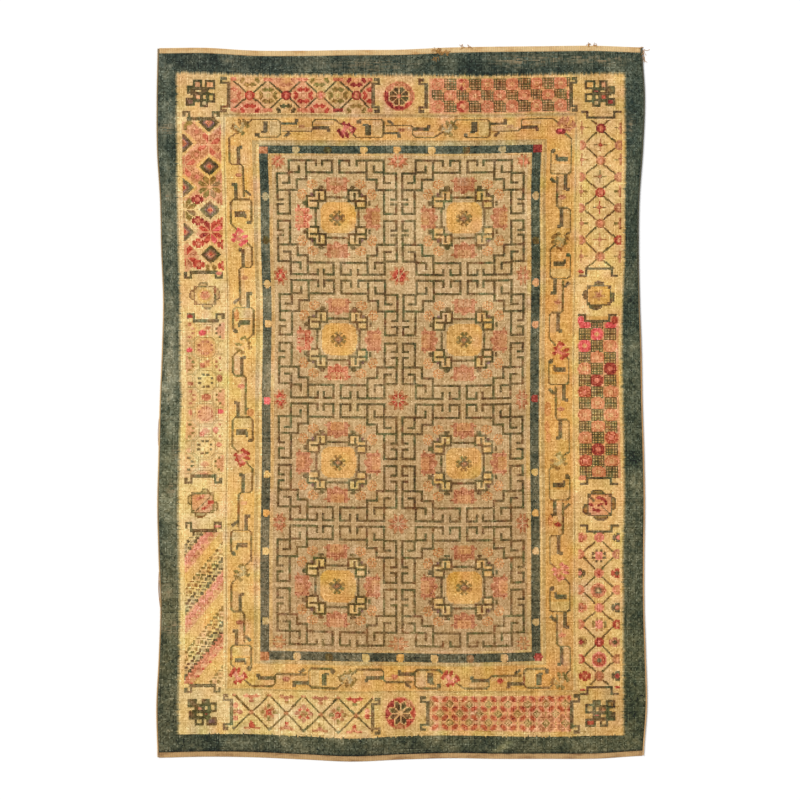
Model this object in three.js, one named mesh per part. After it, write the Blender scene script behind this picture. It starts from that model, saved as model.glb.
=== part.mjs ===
// A long knotted silk rug lying flat: one knotted panel of pile on its woven ground,
// a ribbed tape across each end and a thin overcast cord down each side.
// Millimetres, +Z up, +Y along the length towards the rug's top end, underside on z = 0.

import * as THREE from "three";

// Driving dimensions
const rugWidth = 1600;        // between the straight lines that the two sides follow
const rugLength = 2330;       // between the straight lines that the two ends follow
const pileThickness = 7;      // ground weave and pile together
const tapeDepth = 18;         // how far each end tape reaches in from its end
const tapeThickness = 3;
const cordWidth = 6;          // the overcast cord along each side
const cordThickness = 6;
const gap = 0.3;              // between neighbouring pieces
const cordRounding = 1.6;     // rounding of a cord's long corners
const pileRounding = 1.2;     // rounding of the panel's rim
const tapeRounding = 0.6;
const roundingSteps = 1;
const sideSteps = 70;         // outline steps along the length
const endSteps = 44;          // outline steps across the width

// How far each side stands outside (+) or inside (-) its straight line,
// at even steps from the bottom end to the top end.
const sideRun = [
  { left: 1, right: -3 },
  { left: 5, right: 8 },
  { left: -3, right: 4 },
  { left: -8, right: -1 },
  { left: -2, right: -1 },
  { left: 2, right: 1 },
  { left: -2, right: -2 },
  { left: -6, right: -7 },
  { left: -13, right: -10 },
  { left: -17, right: -16 },
  { left: -11, right: -19 },
  { left: -7, right: -17 },
  { left: 3, right: -5 },
  { left: 4, right: 1 },
  { left: 1, right: -8 },
];

// The same for the two ends, at even steps from the left side to the right side.
const endRun = [
  { bottom: 1.5, top: -1 },
  { bottom: -2, top: 0 },
  { bottom: 0, top: -9 },
  { bottom: 7, top: -9.5 },
  { bottom: 14, top: -7 },
  { bottom: 7.5, top: -6 },
  { bottom: 3, top: 1 },
  { bottom: 5, top: 4 },
  { bottom: 5, top: 5.5 },
  { bottom: 4.5, top: 7 },
  { bottom: -5, top: 1.5 },
];

// A smooth curve through one column of a table; share runs from 0 to 1 along it.
function runAt(table, column, share) {
  const last = table.length - 1;
  const place = THREE.MathUtils.clamp(share, 0, 1) * last;
  const step = Math.min(Math.floor(place), last - 1);
  const t = place - step;
  const row = (index) => table[THREE.MathUtils.clamp(index, 0, last)][column];
  const before = row(step - 1);
  const start = row(step);
  const end = row(step + 1);
  const after = row(step + 2);
  const startSlope = (end - before) / 2;
  const endSlope = (after - start) / 2;
  return start * (2 * t ** 3 - 3 * t ** 2 + 1) + startSlope * (t ** 3 - 2 * t ** 2 + t)
    + end * (3 * t ** 2 - 2 * t ** 3) + endSlope * (t ** 3 - t ** 2);
}

// A point of the cloth from its place across (0 left, 1 right) and along (0 bottom, 1 top).
function clothPoint(across, along) {
  const x = (across - 0.5) * rugWidth
    - (1 - across) * runAt(sideRun, "left", along) + across * runAt(sideRun, "right", along);
  const y = (along - 0.5) * rugLength
    - (1 - along) * runAt(endRun, "bottom", across) + along * runAt(endRun, "top", across);
  return new THREE.Vector2(x, y);
}

// Shares from one limit to another, by way of the even steps that all pieces have in common.
function stations(from, to, steps) {
  const shares = [from];
  for (let step = 1; step < steps; step += 1) {
    const share = step / steps;
    if (share > from && share < to) {
      shares.push(share);
    }
  }
  shares.push(to);
  return shares;
}

// The outline of a four-sided piece of the cloth, anticlockwise from its lower left corner.
function outline({ left, right, bottom, top }) {
  const across = stations(left, right, endSteps);
  const along = stations(bottom, top, sideSteps);
  return [
    ...across.slice(0, -1).map((share) => clothPoint(share, bottom)),
    ...along.slice(0, -1).map((share) => clothPoint(right, share)),
    ...across.slice(1).reverse().map((share) => clothPoint(share, top)),
    ...along.slice(1).reverse().map((share) => clothPoint(left, share)),
  ];
}

// A flat piece of the cloth with softly rounded rims, standing on z = 0.
function clothPiece(name, limits, thickness, rounding, material) {
  const geometry = new THREE.ExtrudeGeometry(new THREE.Shape(outline(limits)), {
    depth: thickness - 2 * rounding,
    steps: 1,
    bevelEnabled: true,
    bevelThickness: rounding,
    bevelSize: rounding,
    bevelOffset: -rounding,
    bevelSegments: roundingSteps,
  });
  geometry.translate(0, 0, rounding);
  const mesh = new THREE.Mesh(geometry, material);
  mesh.name = name;
  return mesh;
}

const silkPile = new THREE.MeshStandardMaterial({ color: 0xb99a6b, roughness: 0.7, metalness: 0 });
const endTape = new THREE.MeshStandardMaterial({ color: 0xd2ae74, roughness: 0.8, metalness: 0 });
const sideCord = new THREE.MeshStandardMaterial({ color: 0xa8814a, roughness: 0.8, metalness: 0 });

// Limits as shares of the width and of the length
const cordShare = cordWidth / rugWidth;
const tapeShare = tapeDepth / rugLength;
const innerAcross = cordShare + gap / rugWidth;
const innerAlong = tapeShare + gap / rugLength;

const pieces = [
  clothPiece("rug_body", {
    left: innerAcross, right: 1 - innerAcross, bottom: innerAlong, top: 1 - innerAlong,
  }, pileThickness, pileRounding, silkPile),
  clothPiece("bottom_end_tape", {
    left: innerAcross, right: 1 - innerAcross, bottom: 0, top: tapeShare,
  }, tapeThickness, tapeRounding, endTape),
  clothPiece("top_end_tape", {
    left: innerAcross, right: 1 - innerAcross, bottom: 1 - tapeShare, top: 1,
  }, tapeThickness, tapeRounding, endTape),
  clothPiece("left_side_cord", {
    left: 0, right: cordShare, bottom: 0, top: 1,
  }, cordThickness, cordRounding, sideCord),
  clothPiece("right_side_cord", {
    left: 1 - cordShare, right: 1, bottom: 0, top: 1,
  }, cordThickness, cordRounding, sideCord),
];

// The origin is the middle of the whole rug's underside.
const rug = new THREE.Group();
rug.add(...pieces);
const middle = new THREE.Box3().setFromObject(rug).getCenter(new THREE.Vector3());
for (const piece of pieces) {
  piece.position.set(-middle.x, -middle.y, 0);
}

export default rug;
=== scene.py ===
import math
import bpy
import numpy as np
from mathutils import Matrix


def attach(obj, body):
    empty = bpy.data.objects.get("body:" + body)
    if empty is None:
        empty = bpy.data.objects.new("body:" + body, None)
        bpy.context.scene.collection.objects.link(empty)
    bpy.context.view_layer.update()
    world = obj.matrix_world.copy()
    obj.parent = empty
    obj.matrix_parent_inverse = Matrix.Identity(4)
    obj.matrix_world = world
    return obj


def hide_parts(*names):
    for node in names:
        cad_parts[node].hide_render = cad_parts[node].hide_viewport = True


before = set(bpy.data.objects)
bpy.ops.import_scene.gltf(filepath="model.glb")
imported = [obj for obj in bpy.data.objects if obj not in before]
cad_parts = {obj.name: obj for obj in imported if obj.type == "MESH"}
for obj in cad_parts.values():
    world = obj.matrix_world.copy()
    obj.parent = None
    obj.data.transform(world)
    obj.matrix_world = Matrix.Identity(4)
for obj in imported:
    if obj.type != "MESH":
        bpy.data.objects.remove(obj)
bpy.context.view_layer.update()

mm = 0.001

# --- camera, light and floor
studio = {
    "lens": 85.0, "sensor": 36.0, "viewWidth": 2.628, "aim": (-0.0056, 0.0118),
    "skyStrength": 0.66, "sunStrength": 0.68, "sunAngle": 24, "sunTilt": 47, "sunTurn": 38,
    "clipEnd": 100, "skyColour": (1.0, 1.0, 1.0, 1.0), "floorSize": 30.0, "floorGap": 0.0002,
    "floorColour": (0.93, 0.93, 0.93, 1.0), "floorRoughness": 0.95, "floorSpecular": 0.1,
}


def linked(name, data):
    piece = bpy.data.objects.new(name, data)
    bpy.context.scene.collection.objects.link(piece)
    return piece


def buildStudio():
    scene = bpy.context.scene
    camera = linked("camera", bpy.data.cameras.new("camera"))
    camera.data.lens = studio["lens"]
    camera.data.sensor_width = studio["sensor"]
    camera.data.clip_end = studio["clipEnd"]
    camera.location = (*studio["aim"], studio["viewWidth"] * studio["lens"] / studio["sensor"])
    scene.camera = camera
    scene.view_settings.view_transform = "Standard"

    sky = bpy.data.worlds.new("studioSky")
    sky.use_nodes = True
    glow = sky.node_tree.nodes["Background"].inputs
    glow["Color"].default_value = studio["skyColour"]
    glow["Strength"].default_value = studio["skyStrength"]
    scene.world = sky

    sun = linked("softSun", bpy.data.lights.new("softSun", "SUN"))
    sun.data.energy = studio["sunStrength"] * math.pi
    sun.data.angle = math.radians(studio["sunAngle"])
    sun.rotation_euler = (0, math.radians(-studio["sunTilt"]), math.radians(-studio["sunTurn"]))

    half = studio["floorSize"] / 2
    sheet = bpy.data.meshes.new("floor")
    corners = [(-half, -half, 0), (half, -half, 0), (half, half, 0), (-half, half, 0)]
    sheet.from_pydata(corners, [], [(0, 1, 2, 3)])
    floor = linked("floor", sheet)
    floor.location.z = -studio["floorGap"]
    paint = bpy.data.materials.new("paleFloor")
    paint.use_nodes = True
    shader = paint.node_tree.nodes["Principled BSDF"].inputs
    shader["Base Color"].default_value = studio["floorColour"]
    shader["Roughness"].default_value = studio["floorRoughness"]
    shader["Specular IOR Level"].default_value = studio["floorSpecular"]
    sheet.materials.append(paint)


buildStudio()
print("studio ready")

# --- the shape of the cloth, in millimetres
cloth = {
    "width": 1600.0, "length": 2330.0, "tapeDepth": 18.0, "cordWidth": 6.0, "gap": 0.3,
    "sideSteps": 70, "endSteps": 44,
}

# How far each lengthwise line of the design stands to the right of straight,
# at 15 even steps from the bottom end to the top end. The keys are knot columns.
sideWander = {
    0: [-1, -5, 3, 8, 2, -2, 2, 6, 13, 17, 11, 7, -3, -4, -1],
    15: [0, -1, 2, 4, 1, -1, 2, 8, 4, 4, 0, -4, -6, -7, -6],
    84: [-3, -3, -3.3, -3, -3.3, -0.7, 2, 1.6, 4, 5, -0.7, -2.6, -8, -8, -8],
    314: [2.6, 2.6, 2.6, 0.7, 0.7, -1, -3.3, -3.3, -2.6, 0, 1, 0, 4, 4, 4],
    383: [0.7, 0.7, -1.6, -1, -2.3, 2.6, 1.3, -2.6, -5.3, -2.6, 4.3, 4, 6.6, 4, 2],
    400: [-3, 8, 4, -1, -1, 1, -2, -7, -10, -16, -19, -17, -5, 1, -8],
}

# How far each crosswise line stands above straight, at 11 even steps from left to right.
# The keys are knot rows, counted from the top.
endWander = {
    0: [-1, 0, -9, -9.5, -7, -6, 1, 4, 5.5, 7, 1.5],
    17: [6.5, 6, 0, 0, 0, -1, -2.6, -2.6, 1, 4, 1.6],
    77: [0, 0, 0, 0, -1, 0, -1.3, 0.6, 4, 4, 4],
    511: [4, 5, 6, 3.3, -1, -2.3, -5, -3, 2, 2, 2],
    573: [5, 6.5, 6.5, -0.7, -8, 0, 2.3, 0, -2.3, 1.6, 3],
    588: [-1.5, 2, 0, -7, -14, -7.5, -3, -5, -5, -4.5, 5],
}

# Where the straight lines of the design lie: dark border, cream panels, guard line, gold vine,
# pale stripes, dark guard, tan stripe, field, and back again.
acrossKnots = [0, 15, 52, 57, 79, 84, 92, 94, 304, 306, 314, 319, 341, 345, 383, 400]
acrossPlace = [-795.1, -733.2, -588.8, -570.1, -483.1, -460.8, -431.8, -424.6,
               415.4, 424.3, 453.3, 472.0, 562.2, 576.3, 728.8, 792.3]
alongKnots = [0, 17, 51, 54, 73, 77, 84, 86, 502, 504, 511, 515, 535, 539, 573, 588]
alongPlace = [1150.2, 1080.8, 950.0, 938.5, 864.5, 847.0, 820.8, 813.8,
              -808.4, -816.2, -845.6, -859.0, -941.1, -954.3, -1091.2, -1143.2]
columnCount, rowCount = acrossKnots[-1], alongKnots[-1]


def runAt(table, share):
    # a smooth curve through evenly spaced values
    values = np.asarray(table, dtype=float)
    last = len(values) - 1
    place = np.clip(share, 0, 1) * last
    step = np.minimum(np.floor(place).astype(int), last - 1)
    t = place - step
    before, start = values[np.clip(step - 1, 0, last)], values[step]
    end, after = values[step + 1], values[np.clip(step + 2, 0, last)]
    return (start * (2 * t ** 3 - 3 * t ** 2 + 1) + (end - before) / 2 * (t ** 3 - 2 * t ** 2 + t)
            + end * (3 * t ** 2 - 2 * t ** 3) + (after - start) / 2 * (t ** 3 - t ** 2))


def clothPoint(across, along):
    # across runs from 0 at the left side to 1, along from 0 at the bottom end to 1
    x = ((across - 0.5) * cloth["width"] + (1 - across) * runAt(sideWander[0], along)
         + across * runAt(sideWander[columnCount], along))
    y = ((along - 0.5) * cloth["length"] + (1 - along) * runAt(endWander[rowCount], across)
         + along * runAt(endWander[0], across))
    return x, y


def findMiddle():
    # the CAD model's origin is the middle of the rug's box
    along = np.arange(cloth["sideSteps"] + 1) / cloth["sideSteps"]
    across = np.arange(cloth["endSteps"] + 1) / cloth["endSteps"]
    rim = [clothPoint(0 * along, along), clothPoint(1 + 0 * along, along),
           clothPoint(across, 0 * across), clothPoint(across, 1 + 0 * across)]
    x = np.concatenate([part[0] for part in rim])
    y = np.concatenate([part[1] for part in rim])
    return (x.min() + x.max()) / 2, (y.min() + y.max()) / 2


middleX, middleY = findMiddle()
innerAcross = (cloth["cordWidth"] + cloth["gap"]) / cloth["width"]
innerAlong = (cloth["tapeDepth"] + cloth["gap"]) / cloth["length"]


def layOut():
    # x and y of every corner of every knot, in millimetres from the origin
    columns, rows = np.arange(columnCount + 1), np.arange(rowCount + 1)
    straightX = np.interp(columns, acrossKnots, acrossPlace)
    straightY = np.interp(rows, alongKnots, alongPlace)
    across = (straightX + middleX) / cloth["width"] + 0.5
    across[0], across[-1] = innerAcross, 1 - innerAcross

    lines = list(endWander)
    y = np.empty((rowCount + 1, columnCount + 1))
    wander = np.array([runAt(endWander[line], across) for line in lines])
    for end, share in ((0, 1 - innerAlong), (-1, innerAlong)):
        wander[end] = clothPoint(across, share)[1] - middleY - straightY[end]
    for column in columns:
        y[:, column] = straightY + np.interp(rows, lines, wander[:, column])

    lines = list(sideWander)
    bottom, top = (runAt(endWander[line], across) for line in (rowCount, 0))
    along = (y + middleY + cloth["length"] / 2 - bottom) / (cloth["length"] - bottom + top)
    wander = np.array([runAt(sideWander[line], along) for line in lines])
    wander[0] = clothPoint(innerAcross, along)[0] - middleX - straightX[0]
    wander[-1] = clothPoint(1 - innerAcross, along)[0] - middleX - straightX[-1]
    weights = np.array([np.interp(columns, lines, np.eye(len(lines))[k]) for k in range(len(lines))])
    x = straightX + np.einsum("kc,krc->rc", weights, wander)
    return x, y


knotX, knotY = layOut()
print("cloth laid out:", columnCount, "by", rowCount, "knots")

# --- the knotted design, one yarn for each knot
# Each dye, top left, top right, bottom left, bottom right of the rug, as it looks in daylight.
dyes = {
    "night": [(55, 64, 48), (61, 71, 54), (71, 71, 46), (71, 72, 44)],
    "guard": [(70, 80, 62), (68, 75, 57), (97, 86, 59), (90, 84, 54)],
    "cream": [(226, 184, 122), (213, 169, 101), (222, 186, 120), (206, 162, 95)],
    "butter": [(238, 198, 132), (226, 182, 112), (234, 196, 128), (220, 176, 106)],
    "mist": [(195, 172, 121), (189, 158, 103), (201, 172, 114), (188, 152, 91)],
    "blush": [(226, 178, 118), (208, 158, 94), (222, 176, 110), (198, 148, 86)],
    "dash": [(186, 150, 94), (182, 146, 90), (194, 162, 98), (191, 149, 85)],
    "gold": [(235, 184, 110), (219, 162, 86), (226, 180, 103), (200, 145, 73)],
    "pale": [(206, 172, 114), (193, 160, 102), (204, 168, 108), (190, 151, 92)],
    "tan": [(208, 168, 106), (214, 174, 112), (198, 157, 102), (206, 164, 106)],
    "sand": [(212, 178, 126), (204, 169, 117), (188, 150, 102), (178, 141, 93)],
    "sandLight": [(210, 176, 124), (202, 168, 118), (188, 153, 101), (182, 146, 96)],
    "fret": [(98, 84, 44), (97, 79, 38), (121, 92, 46), (116, 91, 46)],
    "honey": [(228, 174, 98), (222, 168, 92), (216, 160, 84), (210, 154, 80)],
    "vine": [(132, 100, 47), (116, 89, 38), (146, 113, 56), (124, 96, 48)],
    "leaf": [(119, 96, 57), (100, 78, 43), (133, 107, 63), (110, 88, 49)],
    "umber": [(106, 80, 28), (104, 75, 24), (116, 86, 36), (114, 84, 33)],
    "olive": [(147, 117, 52), (141, 107, 48), (153, 117, 54), (149, 115, 56)],
    "moss": [(122, 99, 55), (116, 90, 42), (122, 95, 55), (118, 91, 51)],
    "ink": [(94, 73, 28), (96, 75, 30), (109, 82, 28), (108, 85, 44)],
    "indigo": [(94, 76, 40), (96, 78, 40), (108, 86, 42), (108, 86, 46)],
    "salmon": [(208, 122, 86), (206, 120, 78), (212, 134, 92), (208, 130, 86)],
    "peach": [(222, 158, 108), (214, 148, 98), (221, 163, 109), (214, 152, 100)],
    "pink": [(216, 120, 94), (212, 108, 84), (232, 158, 122), (212, 126, 96)],
    "hotPink": [(226, 100, 90), (224, 86, 84), (232, 94, 96), (220, 96, 84)],
    "coral": [(200, 98, 68), (194, 92, 60), (200, 102, 64), (178, 84, 40)],
    "red": [(188, 66, 42), (172, 69, 42), (184, 73, 42), (172, 73, 42)],
    "crimson": [(148, 42, 28), (140, 44, 32), (154, 54, 30), (156, 58, 40)],
    "rust": [(190, 120, 74), (178, 115, 66), (183, 118, 68), (174, 112, 64)],
    "brick": [(198, 127, 84), (191, 124, 82), (181, 112, 74), (177, 108, 71)],
    "orange": [(216, 146, 78), (204, 134, 72), (204, 136, 74), (196, 128, 68)],
    "clay": [(204, 142, 94), (188, 133, 83), (204, 144, 92), (205, 144, 89)],
    "straw": [(214, 178, 108), (206, 166, 96), (214, 176, 104), (200, 160, 92)],
    "plum": [(132, 94, 78), (126, 88, 70), (132, 94, 76), (124, 86, 68)],
    "brown": [(150, 112, 70), (140, 102, 60), (160, 118, 72), (130, 98, 60)],
}
dyeNames = list(dyes)
chart = np.zeros((rowCount, columnCount), dtype=np.int16)


def whole(value):
    return int(math.floor(value + 0.5))


def fill(left, top, right, bottom, dye):
    top, bottom, left, right = (max(whole(edge), 0) for edge in (top, bottom, left, right))
    chart[top:bottom, left:right] = dyeNames.index(dye)


def dot(column, row, dye):
    # one knot
    fill(column - 0.5, row - 0.5, column + 0.5, row + 0.5, dye)


def around(column, row, acrossReach, alongReach):
    # the part of the chart round a place, with each knot's distances from it
    left, right = max(whole(column - acrossReach) - 1, 0), min(whole(column + acrossReach) + 1, columnCount)
    top, bottom = max(whole(row - alongReach) - 1, 0), min(whole(row + alongReach) + 1, rowCount)
    down, over = np.mgrid[top:bottom, left:right]
    return chart[top:bottom, left:right], over + 0.5 - column, down + 0.5 - row


def oval(column, row, acrossReach, alongReach, dye, power=2.0, turn=0.0):
    # power 1 is a diamond, 2 an oval and 4 a rounded square
    part, x, y = around(column, row, max(acrossReach, alongReach), max(acrossReach, alongReach))
    c, s = math.cos(math.radians(turn)), math.sin(math.radians(turn))
    u, v = x * c + y * s, y * c - x * s
    part[(abs(u) / acrossReach) ** power + (abs(v) / alongReach) ** power <= 1] = dyeNames.index(dye)


def ovals(places, power=2.0):
    for *place, dye in places:
        oval(*place, dye, power)


def quarters(points, column, row, acrossSize=1, alongSize=1):
    # a run of points, mirrored both ways round a middle
    for sideways in (-1, 1):
        for upright in (-1, 1):
            yield [(column + sideways * a * acrossSize, row + upright * b * alongSize) for a, b in points]


def mirrored(points, column, row, across, along, dye, power=3):
    for run in quarters(points, column, row):
        for point in run:
            oval(*point, across, along, dye, power)


def stroke(points, wide, dye):
    for (c0, r0), (c1, r1) in zip(points, points[1:]):
        dx, dy = c1 - c0, r1 - r0
        part, x, y = around((c0 + c1) / 2, (r0 + r1) / 2, abs(dx) / 2 + wide, abs(dy) / 2 + wide)
        x, y = x + dx / 2, y + dy / 2
        share = np.clip((x * dx + y * dy) / max(dx * dx + dy * dy, 1e-6), 0, 1)
        part[np.hypot(x - share * dx, y - share * dy) <= wide / 2] = dyeNames.index(dye)


def rosette(column, row, across, along, dye, turn, heartShare):
    # five petals round a heart, with the ground showing between them
    part, x, y = around(column, row, across, along)
    rho, angle = np.hypot(x / across, y / along), np.arctan2(y / along, x / across)
    wave = np.cos(5 * (angle - math.radians(turn)))
    part[(rho <= 0.86 + 0.14 * wave) & ((wave > -0.5) | (rho < 0.55))] = dyeNames.index(dye)
    part[rho <= heartShare] = dyeNames.index("brick")


def stamp(picture, column, row, key, mirror=False, upset=False, turned=False):
    # a small motif, charted one mark for each knot
    marks = ["".join(line) for line in zip(*picture)] if turned else picture
    marks = [line[::-1] if mirror else line for line in marks][::-1 if upset else 1]
    top, left = whole(row - len(marks) / 2), whole(column - len(marks[0]) / 2)
    for down, line in enumerate(marks):
        for over, mark in enumerate(line):
            if mark in key:
                chart[top + down, left + over] = dyeNames.index(key[mark])


quarterCharts = {       # upper left quarters, mirrored both ways round their middles
    "medallion": ["....OO.", "...OOO.", "....OOB", ".OO..BO", "OOOOBBS", "OOOBSSR", "..BBSRR"],
    "star": [".....AA..", "....AAAA.", "....AAAAA", "....AAAAA", ".BB..AAAA", "BBBBB.AAA", "BBBBBB.AA",
             ".BBBBBB.A", "..BBBBBB."],
    "ring": [".....AA.", "...AAAAA", "...AAAAA", ".B..AAA.", "BBB.....", "BBBB....", ".BBB...."],
    "rosette": ["...AA", ".A.AA", "AAAAH", "AAAHH"],
    "bloom": ["..AAA", ".AAAL", "AALAA", "AAALH", "ALAHH"],
    "node": ["..AA", ".AAL", "AALH", "AALH"],
}


def quarterStamp(name, column, row, keys, gap=0):
    # keys holds one set of dyes, or one for each quarter; the gap is left open, or shared when it is below 0
    picture = quarterCharts[name]
    tall, wide = len(picture), len(picture[0])
    for quarter in range(4):
        key = keys[quarter] if isinstance(keys, list) else keys
        for down, line in enumerate(picture):
            for over, mark in enumerate(line):
                a, b = wide - over, tall - down
                c = whole(column) + (gap + a - 1 if quarter % 2 else -a)
                r = whole(row) + (gap + b - 1 if quarter > 1 else -b)
                if mark in key and 0 <= c < columnCount and 0 <= r < rowCount:
                    chart[r, c] = dyeNames.index(key[mark])


def drawBorders():
    for inset, dye in enumerate(["night", "cream", "cream", "gold", "pale", "guard", "tan"]):
        fill(acrossKnots[inset], alongKnots[inset], acrossKnots[-1 - inset], alongKnots[-1 - inset], dye)
    fill(95, 86, 303, 502, "sand")
    fill(15, 54, 57, 535, "butter")
    fill(341, 54, 383, 535, "butter")
    # thin guard lines on either side of the gold, and a bright one outside the dark guard
    guardLine = 1.2
    for left, top, right, bottom, upright, level in [
        (55.5, 52, 342.5, 536, "dash", "dash"), (80.5, 73.8, 318, 514.2, "dash", "dash"),
        (83, 76, 315.6, 512.5, "butter", "mist"),
    ]:
        for row in (top, bottom):
            stroke([(left, row), (right, row)], guardLine, level)
        for column in (left, right):
            stroke([(column, top), (column, bottom)], guardLine, upright)


def featherBorder():
    # the dark border's inner edge wanders by a knot or two
    rng = np.random.default_rng(41)
    for line, mean, spread, upright, way in [(15, 0.1, 0.32, True, 1), (383, 0, 0.3, True, -1),
                                             (17, 0.3, 0.45, False, 1), (573, 0, 0.32, False, -1)]:
        view = chart if upright else chart.T
        shifts = np.clip(np.round(rng.normal(mean, spread, size=len(view))), -1, 3).astype(int)
        for place in range(16, len(view) - 16):
            shift = shifts[place]
            low, high = sorted((line, line + way * shift))
            view[place, low:high] = dyeNames.index("night" if shift > 0 else "mist")


guard = {       # the row or column each side's dots stand on, and the dots
    "top": (80.7, [(114.7, "mist"), (140.5, "ink"), (169.7, "cream"), (196.7, "honey"), (224.8, "cream"),
                   (253, "moss"), (282.3, "mist")]),
    "bottom": (507.8, [(115, "pale"), (141, "ink"), (170.8, "cream"), (199.2, "honey"), (226.7, "cream"),
                       (256, "brown"), (283.8, "tan")]),
    "left": (88.6, [(120.5, "mist"), (157.5, "ink"), (194.5, "cream"), (228, "cream"), (293, "hotPink"),
                    (355.3, "cream"), (387.7, "honey"), (420, "cream"), (479, "mist")]),
    "right": (310.4, [(120.5, "mist"), (158, "ink"), (193.5, "peach"), (228.6, "peach"), (291, "crimson"),
                      (352.7, "cream"), (387.3, "honey"), (419.3, "tan"), (478.6, "pale")]),
}


def drawGuard():
    for side, (middle, dots) in guard.items():
        for place, dye in dots:
            oval(*((place, middle) if side in ("top", "bottom") else (middle, place)), 3.1, 3.1, dye, 2.6)
    fill(84, 77.5, 92, 84, "rust")
    fill(84, 504.5, 91.5, 511.5, "rust")
    fill(306.5, 77, 314.5, 84, "crimson")
    oval(312, 508, 3.6, 3.5, "crimson", 2.4)


# --- the field: eight fret squares, each round a gold medallion
fret = {
    "columns": [(147.4, 1.0), (250.8, 1.022)],     # middle, and its size against the left one
    "rows": [(138.0, 0.992), (240.5, 1.01), (344.0, 1.0), (448.4, 1.027)],
    # a quarter of the key pattern, knots outwards and upwards from the middle
    "bars": [
        [(11, 44.3), (11, 48.6), (3, 48.6), (3, 38), (24.4, 38)],
        [(16.3, 44.3), (16.3, 48.6), (38.4, 48.6), (38.4, 38), (30.6, 38), (30.6, 43)],
        [(24.4, 48.6), (24.4, 31.8), (32.6, 31.8), (32.6, 23.6), (48.6, 23.6)],
        [(38.4, 37.6), (48.6, 37.6), (48.6, 15.6), (44.4, 15.6)],
        [(38.7, 37.6), (38.7, 29.5), (43.4, 29.5)],
        [(38.7, 23.6), (38.7, 3), (48.6, 3), (48.6, 10.7), (44.4, 10.7)],
    ],
    # a quarter of the medallion's own frame and its two linked rings
    "frame": [[(0, 17.2), (9, 17.2)], [(17.2, 0), (17.2, 8)]],
    "rings": [
        [(9.5, 14.6), (9.5, 23.2), (18.4, 23.2), (18.4, 18), (24, 18), (24, 8.1), (15.6, 8.1), (15.6, 14.6),
         (9.5, 14.6)],
        [(14.4, 15), (14.4, 20)], [(16, 14), (21.4, 14)],
    ],
    # four bats, tails towards the medallion: across, down, turned on its side, mirrored, upside down
    "bats": [(0, -27.4, False, False, False), (0, 27.2, False, False, True), (-27.6, 0, True, False, False),
             (28.2, 0, True, True, False)],
    "warmBats": [(0, 2), (2, 2), (2, 1)],       # square and place in it
}


def barLine(points, dye, wide=2):
    # straight runs of whole knots
    for (c0, r0), (c1, r1) in zip(points, points[1:]):
        left, right = whole(min(c0, c1) - wide / 2), whole(max(c0, c1) - wide / 2) + wide
        top, bottom = whole(min(r0, r1) - wide / 2), whole(max(r0, r1) - wide / 2) + wide
        fill(left, top, right, bottom, dye)


bat = [
    "....CRRC.CCCCCCC.CRRC...",
    "....RRRPPYYDYCDYYPRRR...",
    ".DDRRRRPPYYDYCDYYPRRRRD.",
    "..DDRRRPPYYCYCYYYPRRRDD.",
    "....RRCPPYYDYCYYYPCRR...",
    "....RRRPPYYDYCYYYPRRR...",
    "....CRRPPYYCYCYYYPRRC...",
    "....RRRDDRDRDDRDRDRRR...",
    "....RRRRRRDRDRRDRRRRC...",
    "....RRRCRRRRRCRRRRCRR...",
    "....RRDRRRDRRDRRRDDRR...",
    "....CRRC.CRRRRRC.CRRC...",
    ".........CRRRRC.........",
    "..........RDR...........",
]
sprig = [
    "....OO...",
    ".OO.D.OO.",
    "OD..OO..D",
    ".OO...OO.",
    "O..DOO..O",
    "DO.O..OD.",
    ".OOD.O...",
    "...OO....",
]


def drawUnit(column, row, a, b, number):
    def bars(name, dye):
        for points in fret[name]:
            for run in quarters(points, column, row, a, b):
                barLine(run, dye)

    bars("bars", "fret")
    oval(column + 0.6, row, 16.6 * a, 16.6 * b, "sandLight", 5)
    oval(column + 0.8, row, 14.4 * a, 13.4 * b, "honey", 3.6)
    flower = {"O": "olive", "B": "moss", "S": "brown", "R": "rust"}
    quarterStamp("medallion", column + 0.9, row + 0.5, flower, -1)
    for run in quarters([(12.5, 19), (20.5, 13)], column, row, a, b):
        for c, r in run:
            fill(c - 4, r - 4, c + 4, r + 4, "cream")
    bars("frame", "moss")
    bars("rings", "ink" if number % 3 == 0 else "moss")
    for run in quarters([(13, 25.6), (26.6, 12), (20.4, 19.6)], column, row, a, b):
        oval(*run[0], 2.3, 1.4, "moss", 3)
        oval(*run[1], 1.4, 2.1, "moss", 3)
        oval(*run[2], 1.3, 1.2, "plum")
    for way, (over, down, turned, mirror, upset) in enumerate(fret["bats"]):
        warm = (number, way) in fret["warmBats"]
        body, detail, edge = ("salmon", "red", "peach") if warm else ("brick", "rust", "clay")
        key = {"R": body, "D": detail, "C": edge, "Y": "clay", "P": "clay"}
        stamp(bat, column + over * a, row + down * b, key, mirror, upset, turned)
    for turned, place in enumerate([(19.5, 28.2), (28.2, 19.6)]):
        for [(c, r)] in quarters([place], column, row, a, b):
            stamp(sprig, c, r, {"O": "orange", "D": "rust"}, c > column, r > row, turned)


def drawJunction(column, row, across, along, dye):
    # eight notched petals, redder inside than at their tips
    size, tip, notch, gap, heart, inside = 8.4, 9.2, 0.17, 0.25, 1.4, 5.2
    part, x, y = around(column, row, across, along)
    x, y = x / across * size, y / along * size
    rho, off = np.hypot(x, y), np.degrees(np.arctan2(y, x)) % 45 - 22.5
    between = rho * np.sin(np.radians(22.5 - abs(off))) <= gap
    petal = ~between & (rho <= tip - abs(off) * notch) & (rho > heart)
    part[petal & (rho <= inside)] = dyeNames.index(dye)
    part[petal & (rho > inside)] = dyeNames.index("rust")


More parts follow.
